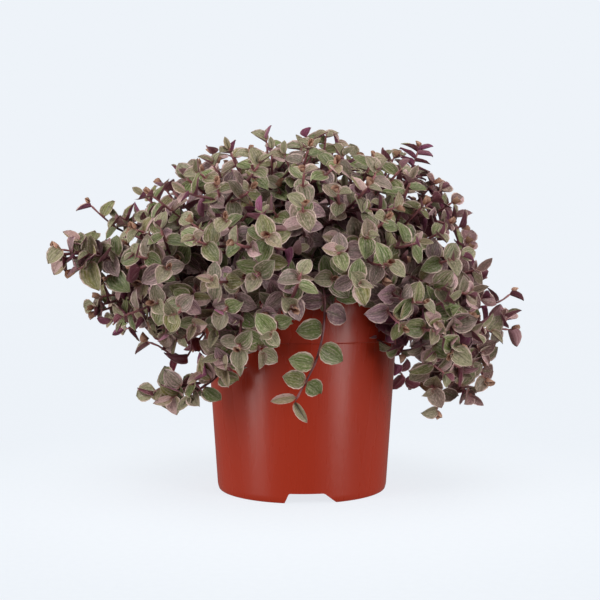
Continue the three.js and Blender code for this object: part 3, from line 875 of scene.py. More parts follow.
class Blades:
    """The templates that every leaf is stamped from."""

    def __init__(self):
        self.leaves = [as_mesh(leaf_blade(form), "leaf form") for form in BLADE_FORMS]
        self.young = as_mesh(leaf_blade(YOUNG_FORM), "young leaf form")
        self.bud = as_mesh(rolled_blade(), "bud form")

    def form_of(self, leaf, draw):
        if leaf["age"] == 0 and "slim" not in leaf:
            return self.bud
        if leaf["age"] <= 1:
            return self.young
        return self.leaves[int(len(self.leaves) * draw)]

    def stamp(self, bm, pose, leaf, number, draw):
        """Adds one leaf: the template is stretched to its size and set in its pose."""
        start = len(bm.verts)
        bm.from_mesh(self.form_of(leaf, chance(number, draw, "form")))
        bm.verts.ensure_lookup_table()
        added = bm.verts[start:]
        share = leaf.get("slim") or (BUD_SHARE if leaf["age"] == 0 else LEAF_SHARE)
        grow = growth(leaf, pose["foot"])
        long = leaf["long"] * share["long"] * grow
        half = leaf["wide"] / 2 * share["wide"] * grow
        columns = fitted(pose["foot"], [pose["across"] * half, pose["point"] * long, pose["face"] * long])
        matrix = Matrix(columns).transposed().to_4x4()
        matrix.translation = pose["foot"]
        bmesh.ops.transform(bm, matrix=Matrix.Scale(MM, 4) @ matrix, verts=added)
        marks = {
            "age": min(1, max(leaf["age"], "slim" in leaf) / OLDEST),
            "tint": chance(number, draw, "tint"),
            "blush": chance(number, draw, "blush"),
        }
        for name, value in marks.items():
            layer = bm.verts.layers.float[name]
            for vertex in added:
                vertex[layer] = value

    def clear(self):
        for mesh in [*self.leaves, self.young, self.bud]:
            bpy.data.meshes.remove(mesh)


# The tube of a stem, in millimetres: its least rings and the step between them, its radius at the foot
# and the tip, how far it swells over how much of its length at a joint, and by where it has grown old
STALK = {
    "sides": 6, "rings": 6, "step": 4, "thick": 0.95, "thin": 0.5, "swell": 0.28, "joint": 2.2, "old": 60,
}
STALK_MERGE = 1e-7
# How far inside the frame's box everything stays, in metres, and how low a tip may bend, in millimetres
BOX_MARGIN = 0.0005
TIP_BEND = 2
# Where a blade reaches furthest, in shares of its half width, its length and its length upwards, and
# how much smaller it is made at a time until it fits
EXTREMES = [(0, 1, 0), (0, 1, -0.3), (1, 0.44, 0.3), (-1, 0.44, 0.3), (1, 0.44, -0.1), (-1, 0.44, -0.1)]
SHRINK = 0.94


def stalk(bm, shoot, joints):
    """A tube along a shoot's path that thins to its tip and swells at the joints where leaves stand."""
    path = shoot["path"]
    rings = max(STALK["rings"], round(path.length / STALK["step"]))
    shares = np.linspace(0, 1, rings + 1)
    spots = path.along(shares)
    ways = np.gradient(spots, axis=0)
    side = Vector(ways[0]).orthogonal()
    frames = []
    for way in ways:
        way = Vector(way).normalized()
        side = squared(side, way)
        frames.append((side, way.cross(side)))
    grid = bmesh.ops.create_grid(bm, x_segments=STALK["sides"], y_segments=rings, size=1)
    age, tint, blush = (bm.verts.layers.float[name] for name in LEAF_LAYERS)
    for vertex in grid["verts"]:
        ring = round((vertex.co.y + 1) / 2 * rings)
        around = math.pi * (vertex.co.x + 1)
        down = path.length * (1 - shares[ring])
        radius = STALK["thick"] + (STALK["thin"] - STALK["thick"]) * shares[ring]
        radius += STALK["swell"] * sum(max(0, 1 - abs(down - joint) / STALK["joint"]) for joint in joints)
        if ring in (0, rings):
            radius = 0
        first, second = frames[ring]
        offset = (first * math.cos(around) + second * math.sin(around)) * radius
        vertex.co = (Vector(spots[ring]) + offset) * MM
        vertex[age] = min(1, down / STALK["old"])
        vertex[tint] = chance(shoot["number"], 0, "tint")
        vertex[blush] = chance(shoot["number"], 0, "blush")
    faces = {face for vertex in grid["verts"] for face in vertex.link_faces}
    for face in faces:
        face.material_index = STALK_SLOT
        face.smooth = True
    bmesh.ops.remove_doubles(bm, verts=grid["verts"], dist=STALK_MERGE)
    bmesh.ops.recalc_face_normals(bm, faces=[face for face in faces if face.is_valid])


def inside_frame(pose, leaf):
    """Whether a leaf stays inside the frame's box."""
    middle = pose["foot"] + pose["point"] * leaf["long"] / 2
    half = pose["across"] * leaf["wide"] / 2
    tip = pose["foot"] + pose["point"] * leaf["long"]
    return all(in_box(spot) for spot in (middle + half, middle - half, tip, tip - pose["face"] * TIP_BEND))


def grow_plant(plant, blades, turn_step):
    """One leafy stem as a mesh: the frame's leaves where the frame has them, and the leaves it lacks."""
    bm = marked_bmesh()
    corners = corners_of(plant["name"])
    for which, shoot in enumerate(plant["shoots"]):
        shoot["number"] = plant["number"]
        for k, leaf in enumerate(shoot["leaves"]):
            plain = settled_pose(shoot, leaf, corners)
            pose = faced(plain, shoot)
            if not inside_frame(pose, leaf):
                pose = plain
            if "swing" in leaf:
                pose = swung(pose, SLIM_SWING)
            blades.stamp(bm, pose, leaf, plant["number"], 10 * which + k)
    stalks = []
    for shoot in [*plant["shoots"], *plant["fill"]]:
        number = shoot["number"]
        own = shoot.get("between", []) if shoot in plant["shoots"] else shoot["leaves"]
        older = older_leaves(number, shoot, turn_step, plant["older"])
        for k, leaf in enumerate([*own, *older]):
            pose = faced(leaf_pose(shoot, leaf), shoot)
            if inside_frame(pose, leaf):
                blades.stamp(bm, pose, leaf, number, MORE_DRAW + k)
        stalks.append((shoot, [leaf["down"] for leaf in [*shoot["leaves"], *older]]))
    for shoot, joints in stalks:
        stalk(bm, shoot, joints)
    return as_mesh(bm, plant["name"] + "_foliage")


class Finish:
    """A material, built step by step. A step takes numbers, colours or what other steps give."""

    def __init__(self, name, roughness, specular, body):
        self.material = bpy.data.materials.new(name)
        self.material.use_nodes = True
        self.tree = self.material.node_tree
        self.shader = self.tree.nodes["Principled BSDF"]
        self.body = body
        self.set("Roughness", roughness)
        self.set("Specular IOR Level", specular)

    def put(self, socket, value):
        if isinstance(value, bpy.types.NodeSocket):
            self.tree.links.new(value, socket)
        elif hasattr(value, "__len__") and len(value) < len(socket.default_value):
            socket.default_value = (*value, 1)
        else:
            socket.default_value = value

    def set(self, name, value):
        self.put(self.shader.inputs[name], value)

    def node(self, kind, values=(), **settings):
        made = self.tree.nodes.new("ShaderNode" + kind)
        for name, value in settings.items():
            setattr(made, name, value)
        for socket, value in zip(made.inputs, values):
            self.put(socket, value)
        return made.outputs

    def math(self, operation, *values):
        return self.node("Math", values, operation=operation)[0]

    def times(self, first, second):
        return self.math("MULTIPLY", first, second)

    def plus(self, start, *parts):
        """The start, and each of the values in parts times its factor."""
        for value, factor in parts:
            start = self.math("MULTIPLY_ADD", value, factor, start)
        return start

    def rise(self, value, low, high, least=0.0, most=1.0):
        """From least to most as value goes from low to high, smoothly."""
        values = (value, low, high, least, most)
        return self.node("MapRange", values, interpolation_type="SMOOTHSTEP")[0]

    def blend(self, share, first, second):
        made = self.tree.nodes.new("ShaderNodeMix")
        made.data_type = "RGBA"
        for index, value in ((0, share), (6, first), (7, second)):
            self.put(made.inputs[index], value)
        return made.outputs[2]

    def lay(self, share, colour):
        """Lays a share of a colour over those before it."""
        self.body = self.blend(share, self.body, colour)

    def wash(self, colour, value, low, high, most=1.0):
        """Lays a colour over those before it, up to most of it as value goes from low to high."""
        self.lay(self.rise(value, low, high, 0.0, most), colour)

    def mark(self, name):
        return self.node("Attribute", attribute_name=name)["Fac"]

    def place(self):
        return self.node("TexCoord")["Object"]

    def leaf_map(self):
        return self.node("UVMap", uv_map="leaf")[0]

    def grain(self, place, scale, detail, stretch=(1, 1, 1), offset=(0, 0, 0)):
        mapping = self.tree.nodes.new("ShaderNodeMapping")
        for name, value in (("Vector", place), ("Location", offset), ("Scale", stretch)):
            self.put(mapping.inputs[name], value)
        made = self.tree.nodes.new("ShaderNodeTexNoise")
        for name, value in (("Vector", mapping.outputs[0]), ("Scale", scale), ("Detail", detail)):
            self.put(made.inputs[name], value)
        return made.outputs["Fac"]

    def bump(self, height, strength, distance):
        made = self.tree.nodes.new("ShaderNodeBump")
        for name, value in (("Strength", strength), ("Distance", distance), ("Height", height)):
            self.put(made.inputs[name], value)
        self.set("Normal", made.outputs[0])

    def done(self):
        self.set("Base Color", self.body)
        return self.material


def blade_coordinates(finish):
    """Across from the midrib (0) to the margin (1), along from foot to tip, and across with its side."""
    across, along, _ = finish.node("SeparateXYZ", [finish.leaf_map()])
    signed = finish.plus(-1.0, (across, 2.0))
    return finish.math("ABSOLUTE", signed), along, signed


# Noises over a blade: scale, detail, and how they are stretched across, along and upwards
LEAF_GRAINS = {
    "streak": (3.0, 2.0, (2.2, 0.5, 1)),
    "mottle": (9.0, 3.0, (1.6, 0.8, 1)),
    "fibre": (6.0, 3.0, (2.6, 0.35, 1)),
    "cells": (11.0, 2.0, (1.3, 1, 1)),
}
# How far apart the noises of two leaves lie
LEAF_SHIFT = 40.0


def leaf_marks(finish):
    """A leaf's age, tint and blush, and the streaks, mottle, fibres and cells that are its own."""
    age, tint, blush = (finish.mark(name) for name in LEAF_LAYERS)
    shift = [finish.times(mark, LEAF_SHIFT) for mark in (tint, blush)]
    shift = finish.node("CombineXYZ", shift)[0]
    grains = [finish.grain(finish.leaf_map(), *grain, shift) for grain in LEAF_GRAINS.values()]
    return age, tint, blush, *grains


# Veins of a blade: how many run on each side of its midrib, and how far they wander
VEINS = {"count": 3.5, "wander": 9.0}
# Where the leaves beside the pot's rim are wine-coloured as painted shade, as those on the shaded right
# flank are
SHADED_HOLLOW = (-0.06, -0.045, 0.099)


def leaf_upper(look):
    finish = Finish("variegated leaf, upper side", 0.42, 0.4, look.leaf_green)
    across, along, signed = blade_coordinates(finish)
    age, tint, blush, streak, mottle, fibre, cells = leaf_marks(finish)
    x, y, z = finish.node("SeparateXYZ", [finish.place()])
    # A green to olive middle
    finish.wash(look.leaf_olive, blush, 0.35, 0.95)
    finish.wash(look.leaf_shade, mottle, 0.42, 0.75, 0.4)
    finish.wash(look.leaf_sage, streak, 0.42, 0.7, 0.6)
    # An outer zone, of one kind or the other, wider at the foot and the tip
    high = finish.rise(z, 0.15, 0.2, 0.0, 0.28)
    kind = finish.rise(finish.plus(tint, (high, 1)), 0.5, 0.8)
    end = finish.math("POWER", finish.plus(-0.8, (along, 1.8)), 2.0)
    edge = finish.plus(across, (end, 0.3), (streak, 0.7), (fibre, 1.4))
    zone = finish.times(finish.rise(edge, 1.75, 2.35), finish.plus(0.5, (kind, 0.35)))
    finish.lay(zone, finish.blend(kind, look.leaf_khaki, look.leaf_mauve))
    # Older leaves turn lilac, and the oldest, deep inside the mound, dark brown: partly their own colour and
    # partly painted shade
    purple = finish.plus(finish.times(age, 0.8), (tint, 0.45))
    finish.wash(look.leaf_dusk, purple, 0.44, 0.68, 0.82)
    old = finish.rise(age, 0.4, 0.85, 0.0, 0.9)
    finish.lay(old, look.leaf_old_shade)
    fresh = finish.plus(1.0, (old, -0.7))
    # Fine pale lines along the veins
    phase = finish.plus(finish.times(streak, VEINS["wander"]), (across, VEINS["count"] * 2 * math.pi))
    lines = finish.rise(finish.plus(0.5, (finish.math("SINE", phase), 0.5)), 0.35, 1.0)
    lines = finish.times(lines, finish.rise(mottle, 0.3, 0.6, 0.05, 0.4))
    lines = finish.plus(lines, (finish.rise(fibre, 0.52, 0.7, 0.0, 0.3), 1))
    tone = finish.blend(finish.rise(purple, 0.3, 0.6), look.leaf_line, look.leaf_pink)
    finish.lay(finish.times(lines, fresh), tone)
    finish.wash(look.leaf_shade, fibre, 0.48, 0.32, 0.3)
    # A wine colour laid as painted shade on leaves of the shaded right flank and of the hollow by the rim,
    # and darker leaves here and there
    right = finish.times(finish.rise(x, 0.055, 0.085, 0.0, 0.88), finish.rise(y, -0.06, -0.03))
    hollow = finish.node("VectorMath", [finish.place(), SHADED_HOLLOW], operation="DISTANCE")["Value"]
    wine = finish.math("MAXIMUM", right, finish.rise(hollow, 0.032, 0.016, 0.0, 0.8))
    finish.lay(finish.times(wine, finish.rise(blush, 0.1, 0.45)), look.leaf_wine_shade)
    own = finish.math("FRACT", finish.times(tint, 13.0))
    finish.wash(look.leaf_shade, own, 0.4, 1.0, 0.4)
    rib = finish.times(finish.rise(across, 0.3, 0.0), finish.rise(along, 1.0, 0.5, 0.0, 0.45))
    finish.lay(rib, look.leaf_shade)
    # Pink halves on a few leaves, and a thin pale margin
    half = finish.rise(finish.plus(-5.45, (blush, 6.0), (signed, 0.9)), 0.0, 0.3, 0.0, 0.75)
    finish.lay(finish.times(half, fresh), look.leaf_pink)
    finish.wash(look.leaf_pink, age, 0.15, 0.08, 0.2)
    margin = finish.rise(finish.plus(across, (mottle, 0.16), (streak, 0.14)), 0.98, 1.08)
    margin = finish.times(margin, finish.plus(0.4, (old, -0.3)))
    margin = finish.times(margin, finish.rise(streak, 0.35, 0.6, 0.9, 2.0))
    finish.lay(margin, look.leaf_margin)
    finish.wash(look.leaf_foot, along, 0.26, 0.02, 0.65)
    finish.wash(look.leaf_shade, cells, 0.5, 0.3, 0.5)
    finish.wash(look.leaf_line, cells, 0.52, 0.72, 0.35)
    # The inside of a leaf that is still rolled
    throat = finish.blend(finish.rise(along, 0.3, 0.75), look.bud_throat, look.bud)
    finish.wash(throat, age, 0.06, 0.0)
    finish.bump(finish.plus(lines, (mottle, 1)), 0.5, 0.0003)
    finish.set("Roughness", finish.rise(mottle, 0.2, 0.8, 0.36, 0.5))
    return finish.done()


def leaf_under(look):
    finish = Finish("variegated leaf, underside", 0.42, 0.4, look.leaf_plum)
    across, along, _ = blade_coordinates(finish)
    age, tint, blush, streak, mottle, fibre, cells = leaf_marks(finish)
    finish.wash(look.leaf_magenta, blush, 0.45, 0.85)
    finish.wash(look.leaf_old_shade, mottle, 0.4, 0.75, 0.45)
    finish.wash(look.leaf_pink, fibre, 0.48, 0.75, 0.4)
    finish.wash(look.leaf_pink, finish.plus(tint, (streak, 0.6)), 0.9, 1.4, 0.6)
    # Older undersides darken to that brown, which is partly painted shade
    finish.wash(look.leaf_old_shade, age, 0.35, 0.9, 0.8)
    finish.wash(look.leaf_margin, across, 0.88, 0.97, 0.4)
    tan = finish.blend(finish.rise(along, 0.1, 0.9), look.bud_foot, look.bud)
    finish.wash(tan, age, 0.06, 0.0)
    finish.wash(look.leaf_old_shade, cells, 0.5, 0.3, 0.3)
    finish.bump(finish.plus(fibre, (mottle, 1)), 0.4, 0.0003)
    return finish.done()


def stem_skin(look):
    finish = Finish("wine-red stem", 0.4, 0.45, look.stem_pink)
    age = finish.mark("age")
    speckle = finish.grain(finish.place(), 900.0, 3.0, (1, 1, 0.35))
    finish.wash(look.stem_wine, age, 0.0, 0.3)
    finish.wash(look.stem_brown, age, 0.6, 1.0, 0.6)
    finish.wash(look.stem_brown, speckle, 0.35, 0.7, 0.35)
    finish.lay(finish.times(finish.mark("tint"), 0.3), look.stem_pink)
    finish.bump(speckle, 0.3, 0.0002)
    return finish.done()


def pot_plastic(look):
    finish = Finish("satin terracotta-red plastic", look.roughness, look.shine, look.colour)
    place = finish.place()
    cloud = finish.grain(place, 16.0, 3.0)
    dust = finish.grain(place, 2200.0, 2.0)
    scuff = finish.grain(place, 90.0, 4.0, (1, 1, 0.12))
    finish.wash(look.shade, cloud, 0.3, 0.7, 0.35)
    finish.wash(look.worn, scuff, 0.62, 0.8, 0.18)
    finish.set("Roughness", finish.rise(scuff, 0.3, 0.75, look.roughness - 0.04, look.roughness + 0.08))
    finish.set("Coat Weight", look.bloom)
    finish.set("Coat Roughness", look.bloom_roughness)
    finish.bump(finish.plus(dust, (cloud, 0.5)), 0.12, 0.0002)
    return finish.done()


def peat_crumb(look):
    finish = Finish("damp peat", 0.95, 0.2, look.peat_dark)
    place = finish.place()
    lump = finish.grain(place, 160.0, 5.0)
    crumb = finish.grain(place, 620.0, 4.0)
    # The peat is darker where the lump noise is low, which is where the bump sinks
    finish.wash(look.peat, lump, 0.35, 0.65)
    finish.wash(look.peat_fibre, crumb, 0.6, 0.72)
    finish.bump(finish.plus(lump, (crumb, 1)), 0.8, 0.0012)
    return finish.done()


def floor_paper(look):
    """Paper as pale as the backdrop all over, but for a faint soft shadow round the pot."""
    finish = Finish("pale studio paper", 0.9, 0.0, (0, 0, 0))
    place = finish.place()
    far = finish.node("VectorMath", [place], operation="LENGTH")["Value"]
    share = finish.rise(far, SHADOW["near"], SHADOW["far"], SHADOW["share"], 0.0)
    weave = finish.grain(place, 260.0, 3.0)
    paper = finish.blend(finish.rise(weave, 0.3, 0.7), look.backdrop, look.floor_fleck)
    finish.lay(share, paper)
    finish.set("Emission Color", paper)
    finish.set("Emission Strength", finish.plus(1.0, (share, -SHADOW["light"])))
    return finish.done()


def place_piece(name, mesh, node, materials):
    """Puts a finished mesh in the scene, in place of the frame's own node."""
    piece = bpy.data.objects.new(name, mesh)
    bpy.context.scene.collection.objects.link(piece)
    for material in materials:
        mesh.materials.append(material)
    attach(piece, BODY)
    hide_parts(node)
    return piece


def tone(name, note, *chart):
    """A colour property, from the three numbers that a paint chart gives."""
    return FloatVectorProperty(name=name, description=note, default=paint(*chart), subtype="COLOR")


def glow(name, note, *default):
    """The colour of a light, as a property."""
    return FloatVectorProperty(name=name, description=note, default=default, subtype="COLOR")


def length(name, note, default):
    return FloatProperty(name=name, description=note, default=default, min=0, unit="LENGTH")


def amount(name, note, default, most=100):
    return FloatProperty(name=name, description=note, default=default, min=0, max=most)


class VinePotLook(bpy.types.PropertyGroup):
    """Sizes and colours of the nursery pot and its peat."""

    height: length("Height", "Height of the pot", 0.117)
    rim_radius: length("Rim radius", "Outer radius of the rim", 0.06)
    rim_height: length("Rim height", "How far the rim band reaches down", 0.026)
    foot_radius: length("Foot radius", "Outer radius at the foot", 0.052)
    wall: length("Wall", "Wall thickness", 0.0013)
    sides: IntProperty(name="Sides", description="Steps round the pot", default=144, min=24)
    roughness: amount("Roughness", "How satin the plastic is", 0.27, 1)
    shine: amount("Shine", "How strongly the plastic mirrors the lights", 0.26, 1)
    bloom: amount("Bloom", "How much of a soft sheen lies on the plastic", 0.3, 1)
    bloom_roughness: amount("Bloom roughness", "How soft that sheen is", 0.52, 1)
    colour: tone("Plastic", "Colour of the plastic", 159, 42, 16)
    shade: tone("Plastic shade", "Darker clouds in the plastic", 146, 36, 12)
    worn: tone("Scuffs", "Colour of faint scuffs", 182, 66, 38)
    peat: tone("Peat", "Colour of the peat", 58, 42, 33)
    # Darker where the lump noise is low, which is where the peat's bump sinks
    peat_dark: tone("Damp peat", "Colour where the peat's bump sinks", 32, 23, 18)
    peat_fibre: tone("Fibre", "Colour of the pale fibres", 104, 82, 62)


class VineFoliageLook(bpy.types.PropertyGroup):
    """Colours of the leaves and stems."""

    leaf_green: tone("Leaf green", "Middle of an upper side", 96, 117, 56)
    leaf_olive: tone("Leaf olive", "Middle of a browner leaf", 130, 120, 66)
    leaf_sage: tone("Leaf sage", "Middle of a paler leaf", 144, 152, 106)
    leaf_khaki: tone("Leaf khaki", "Outer zone of a greener leaf", 160, 142, 120)
    leaf_mauve: tone("Leaf mauve", "Outer zone of a browner leaf", 164, 122, 144)
    leaf_line: tone("Leaf lines", "Fine pale lines of an upper side", 206, 194, 172)
    leaf_pink: tone("Leaf pink", "Pink halves and patches", 212, 174, 178)
    leaf_margin: tone("Leaf margin", "Thin pale margin", 228, 202, 194)
    leaf_foot: tone("Leaf foot", "Foot of a blade, at the stem", 150, 84, 76)
    leaf_shade: tone("Leaf shade", "Dark mottling", 66, 76, 38)
    leaf_dusk: tone("Leaf dusk", "Older leaves below a shoot's own", 146, 104, 130)
    # Painted shade: a wine colour laid on leaves of the shaded right flank and of the hollow beside the rim
    leaf_wine_shade: tone("Leaf wine shade", "Wine-coloured leaves on the shaded flank", 108, 52, 74)
    # Partly painted shade: the darkest brown, laid on the oldest leaves deep inside the mound
    leaf_old_shade: tone("Old leaf", "Oldest leaves inside the mound", 84, 46, 44)
    leaf_plum: tone("Leaf plum", "Underside", 124, 70, 86)
    leaf_magenta: tone("Leaf magenta", "Brighter undersides", 160, 92, 130)
    bud: tone("Bud", "Young rolled leaves", 202, 164, 142)
    bud_foot: tone("Bud foot", "Foot of a young rolled leaf", 172, 124, 106)
    bud_throat: tone("Bud throat", "Inside of a young rolled leaf", 124, 58, 54)
    stem_wine: tone("Stem", "Stems of this year", 82, 36, 42)
    stem_pink: tone("Young stem", "Youngest end of a stem", 168, 110, 114)
    stem_brown: tone("Old stem", "Old stems in the mound", 50, 28, 26)


class VineStageLook(bpy.types.PropertyGroup):
    """Camera, floor and lights."""

    distance: length("Distance", "From the camera to the pot's axis", 0.573)
    eye: length("Eye height", "Height of the camera", 0.119)
    lens: amount("Lens", "Focal length in millimetres", 55.44)
    backdrop: tone("Backdrop", "Colour of the floor and the backdrop", 238, 243, 249)
    floor_fleck: tone("Floor fleck", "Colour of the paper's grain", 237, 242, 248)
    light_colour: glow("Light", "Colour of the light on the object", 1, 0.985, 0.96)
    surround_colour: glow("Surround colour", "Colour of the light from all round", 1, 0.95, 0.88)
    surround: amount("Surround", "Strength of the light from all round", 0.32)
    mirrored: amount("Mirrored surround", "Share of the surround that shiny surfaces mirror", 0.6, 1)
    left_power: amount("Left light", "Power of the left softbox in watts", 8.4)
    right_power: amount("Right light", "Power of the right softbox in watts", 8.4)
    top_power: amount("Top light", "Power of the light above in watts", 6.0)
    fill_power: amount("Side light", "Power of each light beside the pot in watts", 2.2)


# Sizes of the pot that follow from the driving ones, in metres
RIM_DRAFT = 0.0008
RIM_STEP = 0.001
LIP = {"width": 0.0014, "round": 0.0003, "height": 0.0012}
FOOT_RING = 0.0018
FOOT_ROUND = {"height": 0.0024, "depth": 0.0008}
FLOOR_HEIGHT = 0.0056
# The notches in the foot ring, and the outline of each, across from its middle and up
NOTCHES = 3
NOTCH = [
    (-0.0105, -0.001), (-0.0097, 0.0004), (-0.0076, 0.0052), (-0.0068, 0.0057),
    (0.0122, 0.0057), (0.0134, 0.0052), (0.019, 0.0006), (0.021, -0.001),
]
NOTCH_LEAD = 0.001
NOTCH_REACH = 0.014
DRAINS = 6
DRAIN = {"radius": 0.004, "ring": 0.037, "depth": 0.006, "sides": 24}
# How close to a rounded corner the wall beside it is kept straight, for clean reflections
KEEPER = 0.00012
CORNER_STEPS = 4
CORNER_PULL = 0.55
WALL_MERGE = 1e-6
# Edges of the pot that turn more than this, in degrees, stay crisp
CREASE = 35


def round_corner(before, corner, after, radius):
    """A small arc in place of a corner of a profile, and beside it points that keep the walls straight."""
    before, corner, after = Vector(before), Vector(corner), Vector(after)
    back = (before - corner).normalized()
    onward = (after - corner).normalized()
    start = corner + back * radius
    end = corner + onward * radius
    bend = [start, start.lerp(corner, CORNER_PULL), end.lerp(corner, CORNER_PULL), end]
    arc = interpolate_bezier(*(spot.to_3d() for spot in bend), CORNER_STEPS)
    return [tuple(start + back * KEEPER), *(tuple(p)[:2] for p in arc), tuple(end + onward * KEEPER)]


def lathe(bm, profile, sides):
    """Spins a profile of radius and height pairs into a closed wall."""
    spots = [bm.verts.new((radius, 0, height)) for radius, height in profile]
    edges = [bm.edges.new(pair) for pair in pairwise(spots)]
    bmesh.ops.spin(
        bm, geom=[*spots, *edges], cent=(0, 0, 0), axis=(0, 0, 1), angle=2 * math.pi, steps=sides,
        use_merge=True,
    )
    bmesh.ops.remove_doubles(bm, verts=bm.verts[:], dist=WALL_MERGE)
    bmesh.ops.recalc_face_normals(bm, faces=bm.faces[:])


def pot_profile(look):
    rim_foot = look.height - look.rim_height
    rim_foot_radius = look.rim_radius - RIM_DRAFT
    body_radius = rim_foot_radius - RIM_STEP
    ring = look.foot_radius - FOOT_ROUND["depth"]
    wall = look.wall
    # From under the middle of the floor, out and up the wall, over the lip and back: the radius and the
    # height of each corner, and how far it is rounded
    corners = [
        (0, FLOOR_HEIGHT, 0),
        (look.foot_radius - wall - FOOT_RING, FLOOR_HEIGHT, 0.0006),
        (ring - FOOT_RING, 0, 0.0004),
        (ring, 0, 0.0004),
        (look.foot_radius, FOOT_ROUND["height"], 0.0014),
        (body_radius, rim_foot, 0.0004),
        (rim_foot_radius, rim_foot, 0.0004),
        (look.rim_radius, look.height - LIP["height"], 0.0004),
        (look.rim_radius - LIP["round"], look.height, 0.00035),
        (look.rim_radius - LIP["width"], look.height, 0.00035),
        (rim_foot_radius - wall, rim_foot + wall, 0.0008),
        (body_radius - wall, rim_foot - wall, 0.0008),
        (look.foot_radius - wall, FLOOR_HEIGHT + wall, 0.0008),
        (0, FLOOR_HEIGHT + wall, 0),
    ]
    profile = [corners[0][:2]]
    for before, corner, after in zip(corners, corners[1:], corners[2:]):
        profile += round_corner(before[:2], corner[:2], after[:2], corner[2])
    return [*profile, corners[-1][:2]]


def cut(piece, cutters):
    """Cuts closed shapes out of a piece, and keeps the mesh that comes of it."""
    for cutter in cutters:
        step = piece.modifiers.new("cut", "BOOLEAN")
        step.object = cutter
        step.operation = "DIFFERENCE"
        step.solver = "EXACT"
    graph = bpy.context.evaluated_depsgraph_get()
    mesh = bpy.data.meshes.new_from_object(piece.evaluated_get(graph))
    for cutter in cutters:
        bpy.data.objects.remove(cutter)
    bpy.data.objects.remove(piece)
    return mesh


def loose_object(name, bm):
    made = bpy.data.objects.new(name, as_mesh(bm, name))
    bpy.context.scene.collection.objects.link(made)
    return made


def notch_cutter(look, index):
    bm = bmesh.new()
    front = -look.foot_radius - NOTCH_LEAD
    outline = bm.faces.new([bm.verts.new((x, front, z)) for x, z in NOTCH])
    grown = bmesh.ops.extrude_face_region(bm, geom=[outline])["geom"]
    added = [item for item in grown if isinstance(item, bmesh.types.BMVert)]
    bmesh.ops.translate(bm, vec=(0, NOTCH_REACH, 0), verts=added)
    turn = Matrix.Rotation(2 * math.pi * index / NOTCHES, 4, "Z")
    bmesh.ops.transform(bm, matrix=turn, verts=bm.verts[:])
    bmesh.ops.recalc_face_normals(bm, faces=bm.faces[:])
    return loose_object("notch", bm)


def drain_cutter(index):
    bm = bmesh.new()
    radius, ring = DRAIN["radius"], DRAIN["ring"]
    bmesh.ops.create_cone(
        bm, cap_ends=True, segments=DRAIN["sides"], radius1=radius, radius2=radius, depth=DRAIN["depth"]
    )
    angle = 2 * math.pi * (index + 0.5) / DRAINS
    spot = (ring * math.cos(angle), ring * math.sin(angle), FLOOR_HEIGHT)
    bmesh.ops.translate(bm, vec=spot, verts=bm.verts[:])
    return loose_object("drain", bm)


def crease(mesh):
    """Smooth shading, with the sharp edges left crisp."""
    bm = bmesh.new()
    bm.from_mesh(mesh)
    for face in bm.faces:
        face.smooth = True
    for edge in bm.edges:
        edge.smooth = edge.calc_face_angle(0) < math.radians(CREASE)
    bm.to_mesh(mesh)
    bm.free()


class VINE_OT_pot(bpy.types.Operator):
    """Make the nursery pot, with its banded rim, notched foot ring and drain holes"""

    bl_idname = "vine.pot"
    bl_label = "Nursery pot"

    def execute(self, context):
        look = context.scene.vine_pot
        bm = bmesh.new()
        lathe(bm, pot_profile(look), look.sides)
        cutters = [notch_cutter(look, i) for i in range(NOTCHES)]
        cutters += [drain_cutter(i) for i in range(DRAINS)]
        mesh = cut(loose_object("uncut pot", bm), cutters)
        mesh.name = "pot_shell"
        crease(mesh)
        place_piece("pot_shell", mesh, "pot", [pot_plastic(look)])
        return {"FINISHED"}


# The peat, in metres: how much higher its middle is, how far its foot stands off the pot's wall, how
# high the taper of its side reaches, and how far below its top the side ends
PEAT = {"rings": 26, "sides": 72, "crown": 0.0025, "inset": 0.001, "taper": 0.083, "shoulder": 0.003}
# Its crumbs: how far below the top they start, their scale, and how high and low they reach
CRUMBS = {"depth": 0.002, "scale": 260, "height": 0.0016, "sink": 0.0006, "low": -0.0022, "high": 0.0012}
CRUMB_NOISE = {"H": 0.8, "lacunarity": 2.0, "octaves": 4}


class VINE_OT_peat(bpy.types.Operator):
    """Make the crumbly peat that fills the pot"""

    bl_idname = "vine.peat"
    bl_label = "Peat"

    def execute(self, context):
        look = context.scene.vine_pot
        low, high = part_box("peat")
        radius = high.x
        top = PEAT_TOP * MM
        profile = [(0, low.z), (look.foot_radius - look.wall - PEAT["inset"], low.z)]
        profile += [(radius, low.z + PEAT["taper"]), (radius, top - PEAT["shoulder"])]
        for i in range(PEAT["rings"]):
            share = 1 - (i + 1) / PEAT["rings"]
            profile.append((radius * share, top + PEAT["crown"] * (1 - share**2)))
        bm = bmesh.new()
        lathe(bm, profile, PEAT["sides"])
        for vertex in bm.verts:
            if vertex.co.z > top - CRUMBS["depth"]:
                rough = CRUMBS["height"] * noise.fractal(vertex.co * CRUMBS["scale"], *CRUMB_NOISE.values())
                vertex.co.z += min(CRUMBS["high"], max(CRUMBS["low"], rough - CRUMBS["sink"]))
        for face in bm.faces:
            face.smooth = True
        place_piece("peat_bed", as_mesh(bm, "peat_bed"), "peat", [peat_crumb(look)])
        return {"FINISHED"}


def place_plants(context, plants, turn_step):
    look = context.scene.vine_foliage
    blades = Blades()
    materials = [leaf_upper(look), leaf_under(look), stem_skin(look)]
    for plant in plants:
        mesh = grow_plant(plant, blades, turn_step)
        place_piece(mesh.name, mesh, plant["name"], materials)
    blades.clear()


class VINE_OT_trailing_stems(bpy.types.Operator):
    """Grow the stems that stand out of the mound or trail over the rim"""

    bl_idname = "vine.trailing_stems"
    bl_label = "Trailing stems"

    def execute(self, context):
        plants = [plan_trailer(trailer, i) for i, trailer in enumerate(TRAILERS)]
        for plant in plants:
            fill_trailer(plant)
        place_plants(context, plants, TRAILER_TURN)
        return {"FINISHED"}


